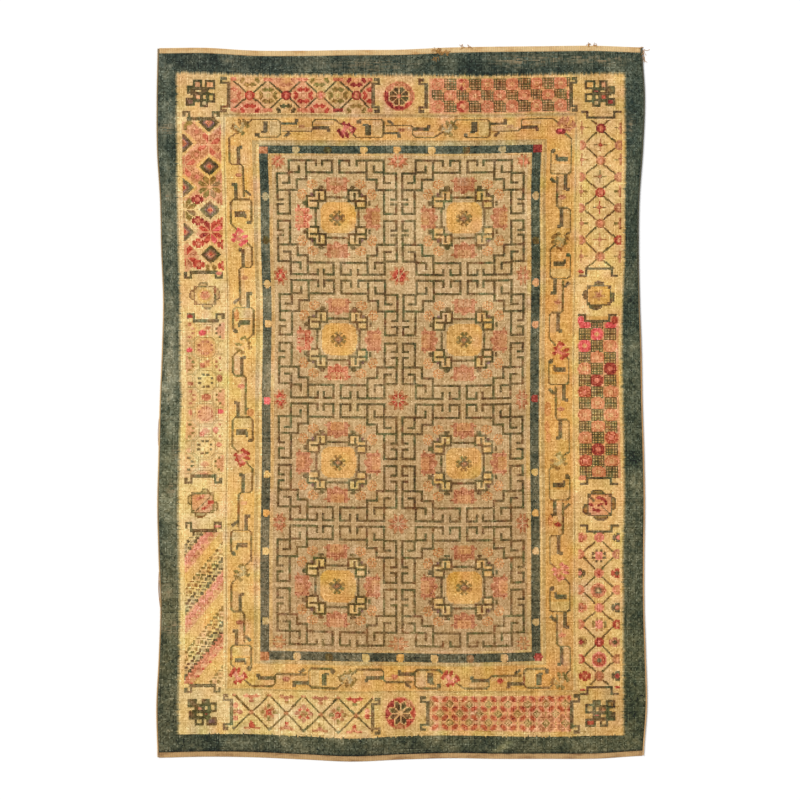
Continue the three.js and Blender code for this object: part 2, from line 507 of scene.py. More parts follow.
def drawField():
    for down, (row, alongSize) in enumerate(fret["rows"]):
        for over, (column, acrossSize) in enumerate(fret["columns"]):
            drawUnit(column, row, acrossSize, alongSize, down * 2 + over)
    # flowers where four squares meet, halves and quarters of them along the rim
    for row, along, dye, lastDye in [(90.8, 6.2, "salmon", "salmon"), (187.2, 8.4, "red", "brick"),
                                     (291.6, 8.8, "red", "brick"), (395.5, 8.4, "brick", "brick"),
                                     (496.4, 6, "clay", "clay")]:
        drawJunction(100.2, row, 5.6, along, dye)
        drawJunction(197.6, row, 8.4, along, dye)
        drawJunction(299.6, row, 5.4, along, lastDye)


# --- the gold border: one angular vine, clockwise, the same module mirrored each time
vine = {
    # the middle of the band, half its width, the way out of the rug, the way it runs, the second comb
    "frames": {
        "top": (63.0, 7.4, -1, "column", 13.6), "right": (330.4, 8.1, 1, "row", 15.6),
        "bottom": (525.4, 7.4, 1, "column", 14.6), "left": (68.6, 8.5, -1, "row", 15.6),
    },
    # side, flower, end of the box, start and end of the pocket, next flower, hand, dye of the sprig
    "modules": [
        ("top", 70.5, 102.5, 128.7, 147.5, 156, 1, "clay"), ("top", 156, 185.8, 209.7, 228, 237, -1, "rust"),
        ("top", 237, 272, 297.3, 325, 332, 1, "clay"), ("right", 65, 102.5, 131, 152, 158, 1, "brick"),
        ("right", 158, 190.3, 219.2, 241, 250, -1, "brick"),
        ("right", 250, 279.5, 309.2, 337, 343, 1, "brick"), ("right", 343, 376.5, 406.3, 430, 437, -1, "red"),
        ("right", 439, 470.5, 499.3, 520, 527, 1, "salmon"),
        ("bottom", 330, 300, 271.5, 250, 241, 1, "red"), ("bottom", 239, 211, 185.5, 163, 156, -1, "salmon"),
        ("bottom", 156, 124.5, 97, 76, 68, 1, "brick"), ("left", 524, 499.5, 471.2, 447, 438, 1, "brick"),
        ("left", 436, 402.5, 370.5, 350, 341, -1, "peach"),
        ("left", 340, 307.2, 271.8, 254, 246, 1, "salmon"),
        ("left", 245, 214.5, 180.3, 163, 155, -1, "clay"), ("left", 152, 123, 93.5, 70, 64, 1, "brick"),
    ],
    "flowers": [
        (68.5, 62, "olive", "mist"), (156, 63.5, "crimson", "pink"), (238, 62.5, "olive", "mist"),
        (335, 61, "brick", "rust"), (329.5, 158.5, "olive", "mist"), (332, 251, "red", "pink"),
        (330, 344, "olive", "mist"), (331, 437, "pink", "salmon"), (330, 527.5, "olive", "mist"),
        (240, 525, "red", "pink"), (155.5, 525, "olive", "mist"), (66, 524.5, "red", "pink"),
        (68.5, 437.5, "olive", "mist"), (67.5, 341, "red", "pink"), (68.5, 245.5, "olive", "blush"),
        (67, 154.5, "hotPink", "pink"),
    ],
}
vineFlower = [
    "......RR..RR....",
    "......RRR.RRR...",
    "......RRR.RRRR..",
    "...P..RRRPPRRR..",
    "..RR...RRPPRRRR.",
    ".RRRP..R.PPPRRRR",
    ".RRPPP..PPPP.RRR",
    "RRRPPPP.PPP..RR.",
    "RRRP..PPPPP.....",
    "..RRRPPPPP......",
    "....RRRRPRP.....",
    ".....RRRRRRR....",
    ".....RR..RRR....",
    ".........RR.....",
]


def drawModule(side, flower, boxEnd, pocketStart, pocketEnd, nextFlower, hand, sprigDye):
    middle, half, outward, along, comb = vine["frames"][side]
    way = 1 if nextFlower > flower else -1

    def at(start, place, out):
        # place runs on from a start, out towards the side that the long lines run on
        off = middle + out * hand * outward
        return (start + way * place, off) if along == "column" else (off, start + way * place)

    def line(points, wide=1.5, dye="vine"):
        stroke([at(*point) for point in points], wide, dye)

    def block(start, first, last, low, high, dye):
        (c0, r0), (c1, r1) = at(start, first, low), at(start, last, high)
        fill(min(c0, c1), min(r0, r1), max(c0, c1), max(r0, r1), dye)

    # paler ground inside the box and beside the combs
    block(boxEnd, -1, -8.8, -half + 1, half - 1, "cream")
    block(pocketStart, 1, 17, 2.8, half - 1, "blush")
    block(boxEnd, 1, 13, -2, 2.4, "blush")
    block(boxEnd, 13, way * (pocketStart - boxEnd) - 1, -1.5, 1.5, "blush")
    # the long side of the box, its end and its hooked side
    line([(flower, 3.5, 3), (flower, 8, half), (boxEnd, -2, half), (boxEnd, 0, half - 2),
          (boxEnd, 0, -half + 2), (boxEnd, -2, -half), (boxEnd, -18.5, -half), (boxEnd, -20.5, -half + 1)])
    oval(*at(boxEnd, -19.6, -half + 2.0), 1.9, 1.7, "leaf", 3)
    # the bud in the box
    block(boxEnd, -10.2, -14.6, -3.4, 5.8, "leaf")
    block(boxEnd, -12, -16.4, -4.4, -2.4, "leaf")
    # the first comb and a leaf, either side of the stem
    block(boxEnd, 0, 13.6, 2.6, 5.4, "leaf")
    block(boxEnd, 11, 14, 5, 7.6, "leaf")
    line([(boxEnd, 2.5, -2.5), (pocketStart, -2, -2.5), (pocketStart, 0, -0.6), (pocketStart, 0, half - 2),
          (pocketStart, 2, half), (pocketEnd, -1, half), (nextFlower, -3.5, 3)])
    line([(boxEnd, 7.4, -2.8), (boxEnd, 6.8, -4.2)], 1.3, "leaf")
    line([(boxEnd, 6.8, -4.4), (boxEnd, 4.2, -half + 1.2)], 2.6, "leaf")
    # a sprig and the second comb
    oval(*at(pocketStart, -9, 1.6), 2.8, 1.9, sprigDye)
    block(pocketStart, 0, comb, -0.8, 2.2, "leaf")
    block(pocketStart, comb - 2, comb + 1, -2.6, 0.4, "leaf")


def drawVine():
    for module in vine["modules"]:
        drawModule(*module)
    for number, (column, row, dye, light) in enumerate(vine["flowers"]):
        key = {"R": dye, "P": light}
        stamp(vineFlower, column, row, key, number % 2 == 1, number % 3 == 1, 90 < row < 500)
    ovals([(63, 221, 2, 5, "orange"), (75, 303, 3, 3, "orange"), (321.5, 300, 2.6, 6, "orange"),
           (321, 315, 2, 5, "orange"), (322, 324, 2, 4, "orange"), (323, 394, 2, 5, "orange"),
           (330, 66.4, 4.2, 2.8, "crimson"), (329.4, 66, 2, 1.3, "hotPink")])


# --- the cream panels round the gold border
brackets = [    # middle of the bar, half its length, way out of the panel, depth, foot
    (59, 35, 9.6, -1, 0, 5.8, 4.2), (177, 35, 9.6, 1, 0, 5.4, 4.4), (220, 35, 9.6, -1, 0, 5, 4.4),
    (338.4, 35, 9.6, 1, 0, 5, 4.2), (60.2, 555, 9.6, -1, 0, 6.2, 4.4), (176.6, 556, 9.6, 1, 0, 5.4, 4.4),
    (221.2, 554.5, 9.2, -1, 0, 5.4, 4.4), (339.6, 555, 10, 1, 0, 6, 4.6),
    (36, 55, 10.2, 0, -1, 5, 4.6), (35.8, 184, 10.4, 0, 1, 4.6, 5), (36.6, 225, 9.6, 0, -1, 5.4, 5.4),
    (36, 356.6, 9.8, 0, 1, 5.4, 4.8), (36.2, 402, 9.8, 0, -1, 5.6, 4.8), (35.8, 532, 9.9, 0, 1, 6, 4.6),
    (363.2, 55.4, 10.8, 0, -1, 5, 4.8), (362.4, 182, 10.4, 0, 1, 5.6, 4.6), (362.4, 226.2, 10, 0, -1, 5, 5),
    (362.4, 357.8, 9.8, 0, 1, 5, 4.4), (362.8, 402.6, 10, 0, -1, 5, 5), (363, 533, 10, 0, 1, 5.6, 4.6),
]
endless = {     # a corner knot: boxes and the bars that join them, from its middle
    "boxes": [(-7, -11.5, 0.5, -4), (3, -11.5, 12, -4), (-12.5, -6.5, -5, 0.5), (-0.5, -4.5, 6, 1.5),
              (4.5, -0.5, 12, 7.5), (-13, 3.5, -5, 10.5), (-1, 4.5, 6, 11)],
    "bars": [(5, 1, 5, 5), (0, 1, 0, 3.5), (-5, 5.5, 0, 5.5), (-6, 1, -6, 4), (-5, -4.5, 5, -4.5),
             (-8, 0, 5, 0)],
    "hearts": [(-3.3, -7.7), (7.5, -7.8), (-3.8, 2.5), (2.6, -1.5), (-8.8, -3), (2.5, 7.7), (-9, 7),
               (8.2, 3.5)],
    "places": [
        (36, 34.5, 1, 1, ["clay", "peach", "peach", "plum", "moss", "mist", "plum", "straw"]),
        (362, 34.8, -1, 1, ["peach", "gold", "red", "crimson", "moss", "mist", "crimson", "straw"]),
        (36.2, 554.6, 1, -1, ["straw", "plum", "salmon", "crimson", "moss", "leaf", "moss", "straw"]),
        (363, 554.6, -1, -1, ["straw", "red", "rust", "crimson", "moss", "leaf", "olive", "mist"]),
    ],
}


def drawBracket(column, row, reach, dx, dy, depth, foot):
    bold = dx != 0 or column < columnCount / 2
    for end in (-1, 1):
        def spot(along, out):
            return column + out * dx + along * end * abs(dy), row + out * dy + along * end * abs(dx)

        barLine([(column, row), spot(reach, 0)], "leaf", 3 if bold else 2)
        barLine([spot(reach, 0), spot(reach, depth)], "leaf")
        curl = [spot(reach + foot - 0.6, depth - 3.4)] if bold else []
        barLine([spot(reach, depth), spot(reach + foot, depth)] + curl, "leaf")


def drawEndless(column, row, sideways, upright, tones):
    def spots(*places):
        return [(column + sideways * a, row + upright * b) for a, b in places]

    for heart, dye in zip(spots(*endless["hearts"]), tones):
        oval(*heart, 2.6, 2.4, dye, 4)
    for a0, b0, a1, b1 in endless["boxes"]:
        a0, b0, a1, b1 = a0 + 1, b0 + 1, a1 - 1, b1 - 1
        barLine(spots((a0, b0), (a1, b0), (a1, b1), (a0, b1), (a0, b0)), "indigo")
    for a0, b0, a1, b1 in endless["bars"]:
        barLine(spots((a0, b0), (a1, b1)), "indigo", 3)


def bloom(column, row, dye, light, heart="peach"):
    quarterStamp("bloom", column, row, {"A": dye, "L": light, "H": heart})


def rosetteOf(column, row, dye, heart):
    quarterStamp("rosette", column, row, {"A": dye, "H": heart})


def hashCloth(column, row, dye, other, light, along=10):
    # a small woven hatch with four pale openings each way
    across = 10
    left, top = whole(column - across / 2), whole(row - along / 2)
    for down in range(along):
        for over in range(across):
            gaps = [down % 5 in (1, 3), over % 5 in (1, 3)]
            between = any(gaps) and (down in (4, 5) or over in (4, 5))
            mark = light if all(gaps) else "brown" if between else other if any(gaps) else dye
            chart[top + down, left + over] = dyeNames.index(mark)


def halos(places, across, along, dye):
    # the diamonds of ground that motifs stand on
    for column, row in places:
        oval(column, row, across, along, dye, 1.1)


def crossings(nodes, points):
    # each node of a lattice with the point on either side of it
    for node, *ends in zip(nodes, points, points[1:]):
        for point in ends:
            yield node, point, 1 if point > node else -1


def ringLattice():
    # top left: red and olive ring flowers in a diagonal lattice
    nodes, points = [77, 106.5, 134.6, 163.6], [62, 92, 120.5, 149, 177]
    halos([(120.5, 35), (77, 48), (134.5, 48), (62, 35), (106.5, 21), (163.5, 21), (177, 35)],
          15, 13, "peach")
    halos([(92, 35), (149, 35), (77, 21), (134.5, 21), (106.5, 48), (163.5, 48)], 13, 11, "blush")
    for column, row, dye in [
        (92, 35, "olive"), (149, 35, "olive"), (121, 35, "red"), (177, 35, "red"), (62, 35, "salmon"),
        (77, 21, "olive"), (107, 21, "brick"), (134, 21, "olive"), (164, 21, "crimson"), (77, 49, "red"),
        (107, 49, "ink"), (134, 49, "red"), (164, 49, "olive"),
    ]:
        quarterStamp("ring", column, row, {"A": dye, "B": dye})
        if dye in ("olive", "red") and row == 35:
            oval(column, row, 2.2, 2, "peach" if dye == "red" else "straw")
    for node, point, way in crossings(nodes, points):
        for up, row in ((-1, 23.4), (1, 46.2)):
            stroke([(node + way * 3.4, 34.8 + up * 2.72), (point - way * 2.2, row)], 1.5, "ink")
    for point in points:
        oval(point, 21.4, 4.2, 1.8, "salmon", 3)
        oval(point, 47.6, 4.4, 1.9, "crimson" if point == 149 else "salmon", 3)
    for node, dye, light in zip(nodes, ("red", "crimson", "rust", "crimson"),
                                ("salmon", "red", "salmon", "rust")):
        quarterStamp("node", node, 35, {"A": dye, "L": light, "H": "pink"})


def flowerCheck():
    # top right: flowers and hatches in a check
    fill(223, 20, 337, 49.5, "peach")
    for down, row in enumerate((25, 34.6, 44.4)):
        for over in range(12):
            column = 229.8 + 10.05 * over
            if (over + down) % 2:
                hashCloth(column, row, ("moss", "ink", "ink")[(over * 2 + down) % 3], "moss", "peach")
            else:
                bloom(column, row, "salmon", "brick" if over % 4 else "clay")
                dot(column, row, "rust")
    for over in range(6):
        oval(235 + 20.1 * over, 29.6, 2.0, 2.0, "peach")
        oval(225 + 20.1 * over, 39.4, 2.2, 2.2, "peach")
    stroke([(249, 20), (249.4, 23)], 2, "red")
    stroke([(249.4, 27.4), (249.2, 29.5)], 2.2, "crimson")
    stroke([(250, 39.6), (246.4, 42.2), (246.2, 45), (250, 48.4)], 2.4, "red")


def starPanel():
    # upper left: stars, rosettes and dark diamonds
    diamonds = [(42.4, 58.6), (42.6, 95.2), (42.4, 132), (42.4, 169.4), (20.6, 75.4), (20.6, 113),
                (20.6, 150.4)]
    fill(20, 58, 53, 124, "peach")
    halos([(42.6, 150.2)], 14, 15, "peach")
    halos([(21, 171.5)], 12, 14, "peach")
    for place in diamonds:
        halos([place], 11.6, 10.8, "cream" if place[1] > 120 else "gold")
    for column, row, first, second in [
        (42, 76, ("coral", "rust"), ("rust", "coral")), (42, 112, ("olive", "olive"), ("olive", "brown")),
        (42, 150, ("crimson", "red"), ("red", "hotPink")), (21, 94, ("coral", "salmon"), ("rust", "coral")),
        (21, 131, ("olive", "olive"), ("brown", "olive")), (21, 171, ("salmon", "red"), ("red", "brick")),
    ]:
        pairs = (first, (first[1], second[1]), (second[0], first[0]), (second[1], second[0]))
        quarterStamp("star", column, row, [{"A": a, "B": b} for a, b in pairs], 1)
    for column, row in diamonds:
        halos([(column, row)], 8.4, 7.8, "ink" if row > 160 or row < 62 or 90 < row < 100 else "leaf")
        halos([(column, row)], 5.0, 4.6, "plum")
        halos([(column, row)], 3.2, 3.0, "salmon" if row < 90 else "brick")
        oval(column, row, 1.3, 1.3, "red" if row > 90 else "rust")
    for number, (row, dye, heart) in enumerate([
        (66, "brick", "salmon"), (85, "rust", "salmon"), (104, "rust", "pink"), (123, "crimson", "pink"),
        (141, "crimson", "salmon"), (160, "red", "salmon"), (178, "red", "salmon"),
    ]):
        rosetteOf(32, row, dye, heart)
        rosetteOf(53, row + 1, "red" if number > 3 else "brick", "salmon")
    ovals([(26, 59, 3, 1.6, "olive"), (22.6, 62.4, 1.6, 3, "olive"), (39.6, 180.6, 1.6, 2.6, "olive"),
           (45, 180.6, 1.6, 2.6, "olive")], 3)


def octagonPanel():
    # middle left: octagons and rings of spots
    fill(20, 226, 29, 358, "blush")
    rows = list(enumerate((220, 248, 276, 304, 332, 360)))
    for number, row in rows:
        if number % 2:
            oval(36.7, row, 8.6, 8.6, "blush", 3)
            oval(36.7, row, 6.6, 6.6, "peach")
        oval(52.6 if number % 2 == 0 else 20, row + 14, 6.6, 7, "peach")
    for number, row in rows:
        for swell, dye in ((0, "dash"), (1.8, "pale")):
            slip = swell * 0.4
            half = [(27.6 - swell, 4.6 + slip), (32 - slip, 8.8 + swell), (41.6 + slip, 8.8 + swell),
                    (45.8 + swell, 4.6 + slip)]
            edge = half + [(column, -down) for column, down in half[::-1]] + half[:1]
            stroke([(column, row + down) for column, down in edge], 0.9, dye)
        for column, way in ((27.4, -1), (46, 1)):
            for up in (-5.4, 5.4):
                stroke([(column, row + up), (column + way * 5.8, row + up)], 0.9, "dash")
        mirrored([(1.9, 5.2), (5.2, 1.9)], 36.7, row, 1.4, 1.1, "moss" if number in (2, 4) else "brick")
        for column in (31.4, 42.4):
            stroke([(column, row + 8.8), (column, row + 19.2)], 0.9, "dash")
        for side, column, tones in ((1, 19.8, ("brick", "olive", "brick", "olive", "moss", "moss")),
                                    (-1, 52.4, ("moss", "brick", "olive", "brick", "olive", "moss"))):
            for a, b in ((3.5, 4.9), (3.5, -4.9), (6.5, 1.7), (6.5, -1.7)):
                oval(column + side * a, row + 14 + b, 1.3, 1.1, tones[number], 3)
        oval(37, row + 14.4, 3.6, 2.2, "brick" if number == 2 else "peach")
    ovals([(34, 235.6, 2.8, 2.2, "hotPink"), (23.4, 250.2, 2.4, 2, "hotPink"),
           (49.2, 302, 2.5, 2.4, "hotPink"), (34, 321, 2.4, 2, "pink"), (45.6, 317.4, 2.4, 2.6, "pink"),
           (39, 231.2, 1.8, 1.4, "rust"), (38.6, 259.6, 2.2, 1.2, "rust"), (48.6, 274, 2.6, 3, "brick"),
           (48.6, 330, 2.4, 1.8, "salmon"), (23.6, 302.6, 1.8, 2.2, "salmon"),
           (23.6, 278.4, 2.4, 1.8, "brick"), (23.4, 334.6, 2, 2, "peach"), (34, 263, 2.4, 2, "salmon"),
           (37, 290, 4, 3, "salmon"), (23.4, 228, 1.4, 1.2, "rust")], 2.2)


def slantPanel():
    # lower left: slanting bands and chains of rings
    left, top, right, bottom = 20, 404, 53, 531
    down, over = np.mgrid[top:bottom, left:right] + 0.5
    slant = down + 1.16 * (over - 36)
    view = chart[top:bottom, left:right]
    for low, high, dye in [(405, 421, "peach"), (421, 432, "gold"), (455, 472, "peach"), (472, 486, "gold"),
                           (507, 521, "peach"), (521, 536, "gold")]:
        view[(slant > low) & (slant < high)] = dyeNames.index(dye)
    for start, dye in [(410, "pink"), (461, "pink"), (511, "salmon")]:
        for step in range(-6, 7):
            column, row = 36 - 4.9 * step, start + 5.8 * step
            oval(column, row, 4.6, 2.4 if step % 3 else 3.4, dye, 2, -50)
            oval(column + 3, row + 2.6, 1.6, 1.4, "salmon")
    for start, dye, light in [(400, "moss", "mist"), (437, "olive", "blush"), (449.6, "moss", "mist"),
                              (490.6, "olive", "blush"), (503.4, "moss", "mist"), (541, "olive", "blush")]:
        for step in range(-4, 5):
            column, row = 36.2 - 4.9 * step, start + 5.8 * step
            oval(column, row, 2, 2, light, 3)
            for off in (-1, 1):
                oval(column + off * 3.2, row, 1.4, 1.5, dye, 3)
                oval(column, row + off * 3, 2.0, 0.9, dye, 3)
            dot(column, row, "brown")
    for start, dye in [(416, "rust"), (459, "rust"), (466, "salmon"), (513, "brick"), (519, "red")]:
        for step in range(-5, 6):
            oval(36 - 4.9 * step + (step % 2), start + 5.8 * step, 1.3, 0.9, dye, 3)


def drawWheel(column, row, tones, centre, tall, point, slope):
    # eight outer petals round a star of eight dark ones with pale veins between them
    reach, rim, petalGap, starGap, veinGap, veinReach, heart = 12, 0.5, 0.45, 0.2, 0.62, 0.86, 1.8
    part, x, y = around(column, row, reach + 2, reach + 2)
    rho, turn = np.hypot(x, y / tall), np.degrees(np.arctan2(y, x))
    outer, inner = (turn + 22.5) % 45 - 22.5, turn % 45 - 22.5
    part[rho <= reach + rim] = dyeNames.index("salmon")
    star = point - abs(inner) * slope
    off, vein = (rho * np.sin(np.radians(22.5 - abs(part))) for part in (outer, inner))
    petal = (rho <= reach) & (off > petalGap) & (rho > star + starGap)
    which = ((turn + 112.5) // 45).astype(int) % 8
    for number, tone in enumerate(tones):
        part[petal & (which == number)] = dyeNames.index(tone)
    part[rho <= star] = dyeNames.index("cream")
    part[(rho <= star * veinReach) & (vein > veinGap) & (rho > heart + 0.1)] = dyeNames.index("ink")
    oval(column, row, heart, heart, centre)


def drawFrameFlower(box, bulges, inside, tone, dye="leaf"):
    # a fine square frame with a hollow bulge on each side and small blocks at its corners
    left, top, right, bottom = box
    for side, start, end in zip(("top", "right", "bottom", "left"), bulges[::2], bulges[1::2]):
        middle, reach = (start + end) / 2, (end - start) / 2
        where = {"top": (middle, top - 1.2), "bottom": (middle, bottom + 1.2), "left": (left - 1.2, middle),
                 "right": (right + 1.2, middle)}[side]
        across, along = (reach, 2.9) if side in ("top", "bottom") else (2.9, reach)
        oval(*where, across, along, dye, 2.4)
        oval(*where, across - 1.3, along - 1.2, tone, 2.4)
    fill(left, top, right, bottom, inside)
    stroke([(left, top), (right, top), (right, bottom), (left, bottom), (left, top)], 1.35, dye)
    for a in (left + 1.4, right - 1.4):
        for b in (top + 1.2, bottom - 1.2):
            fill(a - 1, b - 1, a + 1, b + 1, dye)
            dot(a, b, tone)


def sideLattice(sides, middle, nodes, points, nodeTones, pointTones):
    # a tall lattice: ring nodes down the middle and half ones at its sides
    for node, point, up in crossings(nodes, [points[0] - 27] + points + [points[-1] + 27]):
        for side, way in zip(sides, (-1, 1)):
            line = [(middle + way * 3.2, node + up * 3.6), (side - way * 1.4, point - up * 2.6)]
            stroke(line, 1.5, "umber")
    for node, (dye, light, heart) in zip(nodes, nodeTones):
        quarterStamp("node", middle, node, {"A": dye, "L": light, "H": heart})
    for point, (first, second) in zip(points, pointTones):
        quarterStamp("node", sides[0] - 2.6, point, {"A": first, "L": "salmon", "H": "peach"})
        quarterStamp("node", sides[1] + 2.6, point, {"A": second, "L": second, "H": "peach"})


def cross(column, row, dye, other, heart, reach=4.6):
    # two fine bars and a heart
    stroke([(column - reach, row), (column + reach, row)], 1.6, other)
    stroke([(column, row - reach), (column, row + reach)], 1.6, dye)
    oval(column, row, 2.4, 2.2, dye, 1.2)
    oval(column, row, 1.4, 1.3, heart)


def crossLattice():
    # upper right: a lattice with a cross in each square
    nodes = [64, 91.4, 117.6, 144, 171.6]
    sideLattice((350, 375.6), 362.6, nodes, [77.5, 104.5, 131, 157.6],
                [("crimson", "red", "salmon"), ("rust", "salmon", "brick"), ("red", "salmon", "pink"),
                 ("rust", "salmon", "salmon"), ("rust", "brick", "salmon")],
                [("brick", "brick"), ("brick", "brick"), ("brick", "brick"), ("brick", "red")])
    for row, dye, other, heart in [(77.6, "rust", "moss", "red"), (104.4, "moss", "olive", "brick"),
                                   (130.6, "red", "moss", "rust"), (157.6, "rust", "rust", "brick")]:
        cross(362.6, row, dye, other, heart)
    for column in (347.6, 379):
        for row in (63.6, 90.4, 117.2, 144, 171.6):
            cross(column, row, "rust", "olive", "brick", 4.4)


def hatchCheck():
    # middle right: a check of hatches and flowers
    fill(346.5, 222, 380, 358, "peach")
    fill(353, 221, 372, 226, "gold")
    ovals([(352.4, 229.6, 5, 2.8, "hotPink"), (348.6, 225.6, 2.6, 3.6, "hotPink"),
           (373.4, 229.6, 5, 2.8, "hotPink"), (376.6, 225.6, 2.8, 3.8, "red"),
           (371.6, 230, 2, 1, "hotPink")], 2.4)
    tones = iter(["hotPink"] * 2 + ["salmon"] * 3 + ["crimson"] * 2 + ["red"] + ["salmon"] * 6
                 + ["red", "crimson", "red", "salmon", "salmon"])
    lights = {"hotPink": "hotPink", "crimson": "red", "salmon": "peach", "red": "salmon"}
    hashCloth(362.4, 229.6, "ink", "leaf", "peach", 6)
    for down in range(13):
        for over, column in enumerate((352, 362.4, 373.2)):
            row = 237.2 + 9.68 * down
            if (over + down) % 2 == 0:
                line = ("ink", "leaf", "ink")[(over * 3 + down * 2) % 3]
                hashCloth(column, row, line, "leaf" if over == 1 else "moss", "cream")
            else:
                dye = next(tones)
                oval(column, row, 5.8, 5.2, "salmon")
                bloom(column, row, dye, lights[dye], "pink" if dye in ("red", "crimson") else "peach")
    oval(349.4, 358.4, 3, 2.4, "salmon", 3)


def flowerLattice():
    # lower right: a lattice with a ring flower in each square
    sideLattice((349.6, 375.8), 362.8, [408, 437.6, 467.2, 495.6, 523.6], [422.4, 452, 480.6, 510.2],
                [("pink", "pink", "salmon"), ("salmon", "pink", "red"), ("salmon", "pink", "pink"),
                 ("red", "crimson", "pink"), ("rust", "brick", "salmon")],
                [("salmon", "brick"), ("salmon", "salmon"), ("salmon", "red"), ("red", "rust")])
    for row, dye in [(423.4, "leaf"), (481, "olive")]:
        mirrored([(1.9, 4.6), (4.8, 1.7)], 363, row, 1.4, 1.3, dye)
        oval(363, row, 3.4, 3.6, "pink", 3)
        oval(363, row, 1.2, 1.4, "salmon")
    for across, along, dye in [(6.4, 6.2, "salmon"), (4.4, 4.4, "brick"), (3, 2.8, "leaf"),
                               (1.5, 1.4, "mist")]:
        oval(362.4, 452.6, across, along, dye)
    oval(363, 510.6, 6.2, 6.2, "pink", 2.6)
    bloom(363, 511, "red", "rust", "leaf")
    for column, row, dye, heart in [
        (348, 408, "salmon", "pink"), (347.4, 438, "leaf", "pink"), (348, 467, "salmon", "brick"),
        (348, 496, "olive", "crimson"), (351, 524, "red", "salmon"), (379, 408, "leaf", "pink"),
        (378, 438, "red", "leaf"), (378, 467, "leaf", "brick"), (376, 496, "brick", "leaf"),
        (378.4, 524, "leaf", "crimson"),
    ]:
        rosetteOf(column, row, dye, heart)


def lineLattice():
    # bottom left: a lattice of crossing lines with crosses in it
    nodes, points = [77, 106.3, 134.2, 163], [62.6, 92, 120, 148.4, 177.4]
    for node, point, _ in crossings(nodes, points):
        stroke([(point, 540.6), (node, 555), (point, 569)], 1.5, "ink")
    for node in nodes:
        oval(node, 555, 2.0, 1.6, "rust")
    for point in points:
        oval(point, 541, 1.8, 1.4, "rust")
        oval(point, 568.4, 1.6, 1.3, "leaf")
    for column, dye, arm in [(91.6, "red", "olive"), (120.3, "olive", "brick"), (148.2, "red", "olive")]:
        row = 554.8
        halos([(column, row)], 8.6, 8.4, "tan")
        for off in (-1, 1):
            oval(column, row + off * 5.2, 1.7, 2, arm)
            oval(column + off * 5.4, row, 2, 1.7, arm)
        mirrored([(3.2, 3)], column, row, 1.6, 1.4, "rust" if arm == "olive" else "red", 2)
        oval(column, row, 2.6, 2.4, dye, 2.6)
        oval(column, row, 1, 1, "brick")
    for column, row, up, dye, tip in [
        (77, 541.2, 1, "salmon", "brick"), (106.2, 541.2, 1, "rust", "olive"),
        (134, 541.2, 1, "brick", "rust"), (162, 541.2, 1, "red", "olive"), (77.4, 568.4, -1, "rust", "red"),
        (106.4, 568, -1, "rust", "red"), (133.4, 568.4, -1, "rust", "olive"),
        (161.6, 568.4, -1, "salmon", "red"),
    ]:
        for off in (-3.8, 3.8):
            oval(column + off, row + 0.4 * up, 2.8, 1.2, dye)
        oval(column, row + 1.8 * up, 2.2, 1.8, "brick" if dye == "rust" else dye, 2.4)
        oval(column, row + 4.8 * up, 1.6, 1.5, tip)
    ovals([(64, 549.6, 2.4, 2.2, "salmon"), (67.4, 554.6, 2.4, 2.2, "brick"), (64, 560, 2.4, 2.2, "salmon"),
           (62.6, 555, 2.4, 2.2, "rust"), (77.4, 565.8, 2.4, 2.2, "red"), (172.2, 555.8, 2.4, 2.2, "red"),
           (172, 551.6, 2.4, 2.2, "salmon")])


def petalCheck():
    # bottom right: red petals and olive rings
    fill(223.4, 540.4, 338, 569, "peach")
    for down, row in enumerate((542.7, 550.6, 558.2, 566)):
        for over in range(16):
            column = 219.6 + 7.94 * over
            lean = 42 if (over + down) % 2 else -42
            oval(column, row, 3.4, 2.1, "brick", 2, lean)
            oval(column, row, 2.9, 1.5, "rust" if row > 555 and over > 11 else "coral", 2, lean)
            if row < 555 and 4 < over < 12:
                oval(column, row, 1.8, 1.0, "red", 2, lean)
    for down, row in enumerate((546.8, 554.6, 562.1)):
        for over in range(9):
            column = 223.5 + 15.85 * over + (7.9 if down == 1 else 0)
            oval(column, row, 3.6, 3.5, "olive", 1)
            oval(column, row, 2.3, 2.2, "tan", 1)
            dot(column, row, "olive")
            fill(column + 7.4, row - 1.5, column + 8.4, row + 1.5, "dash")


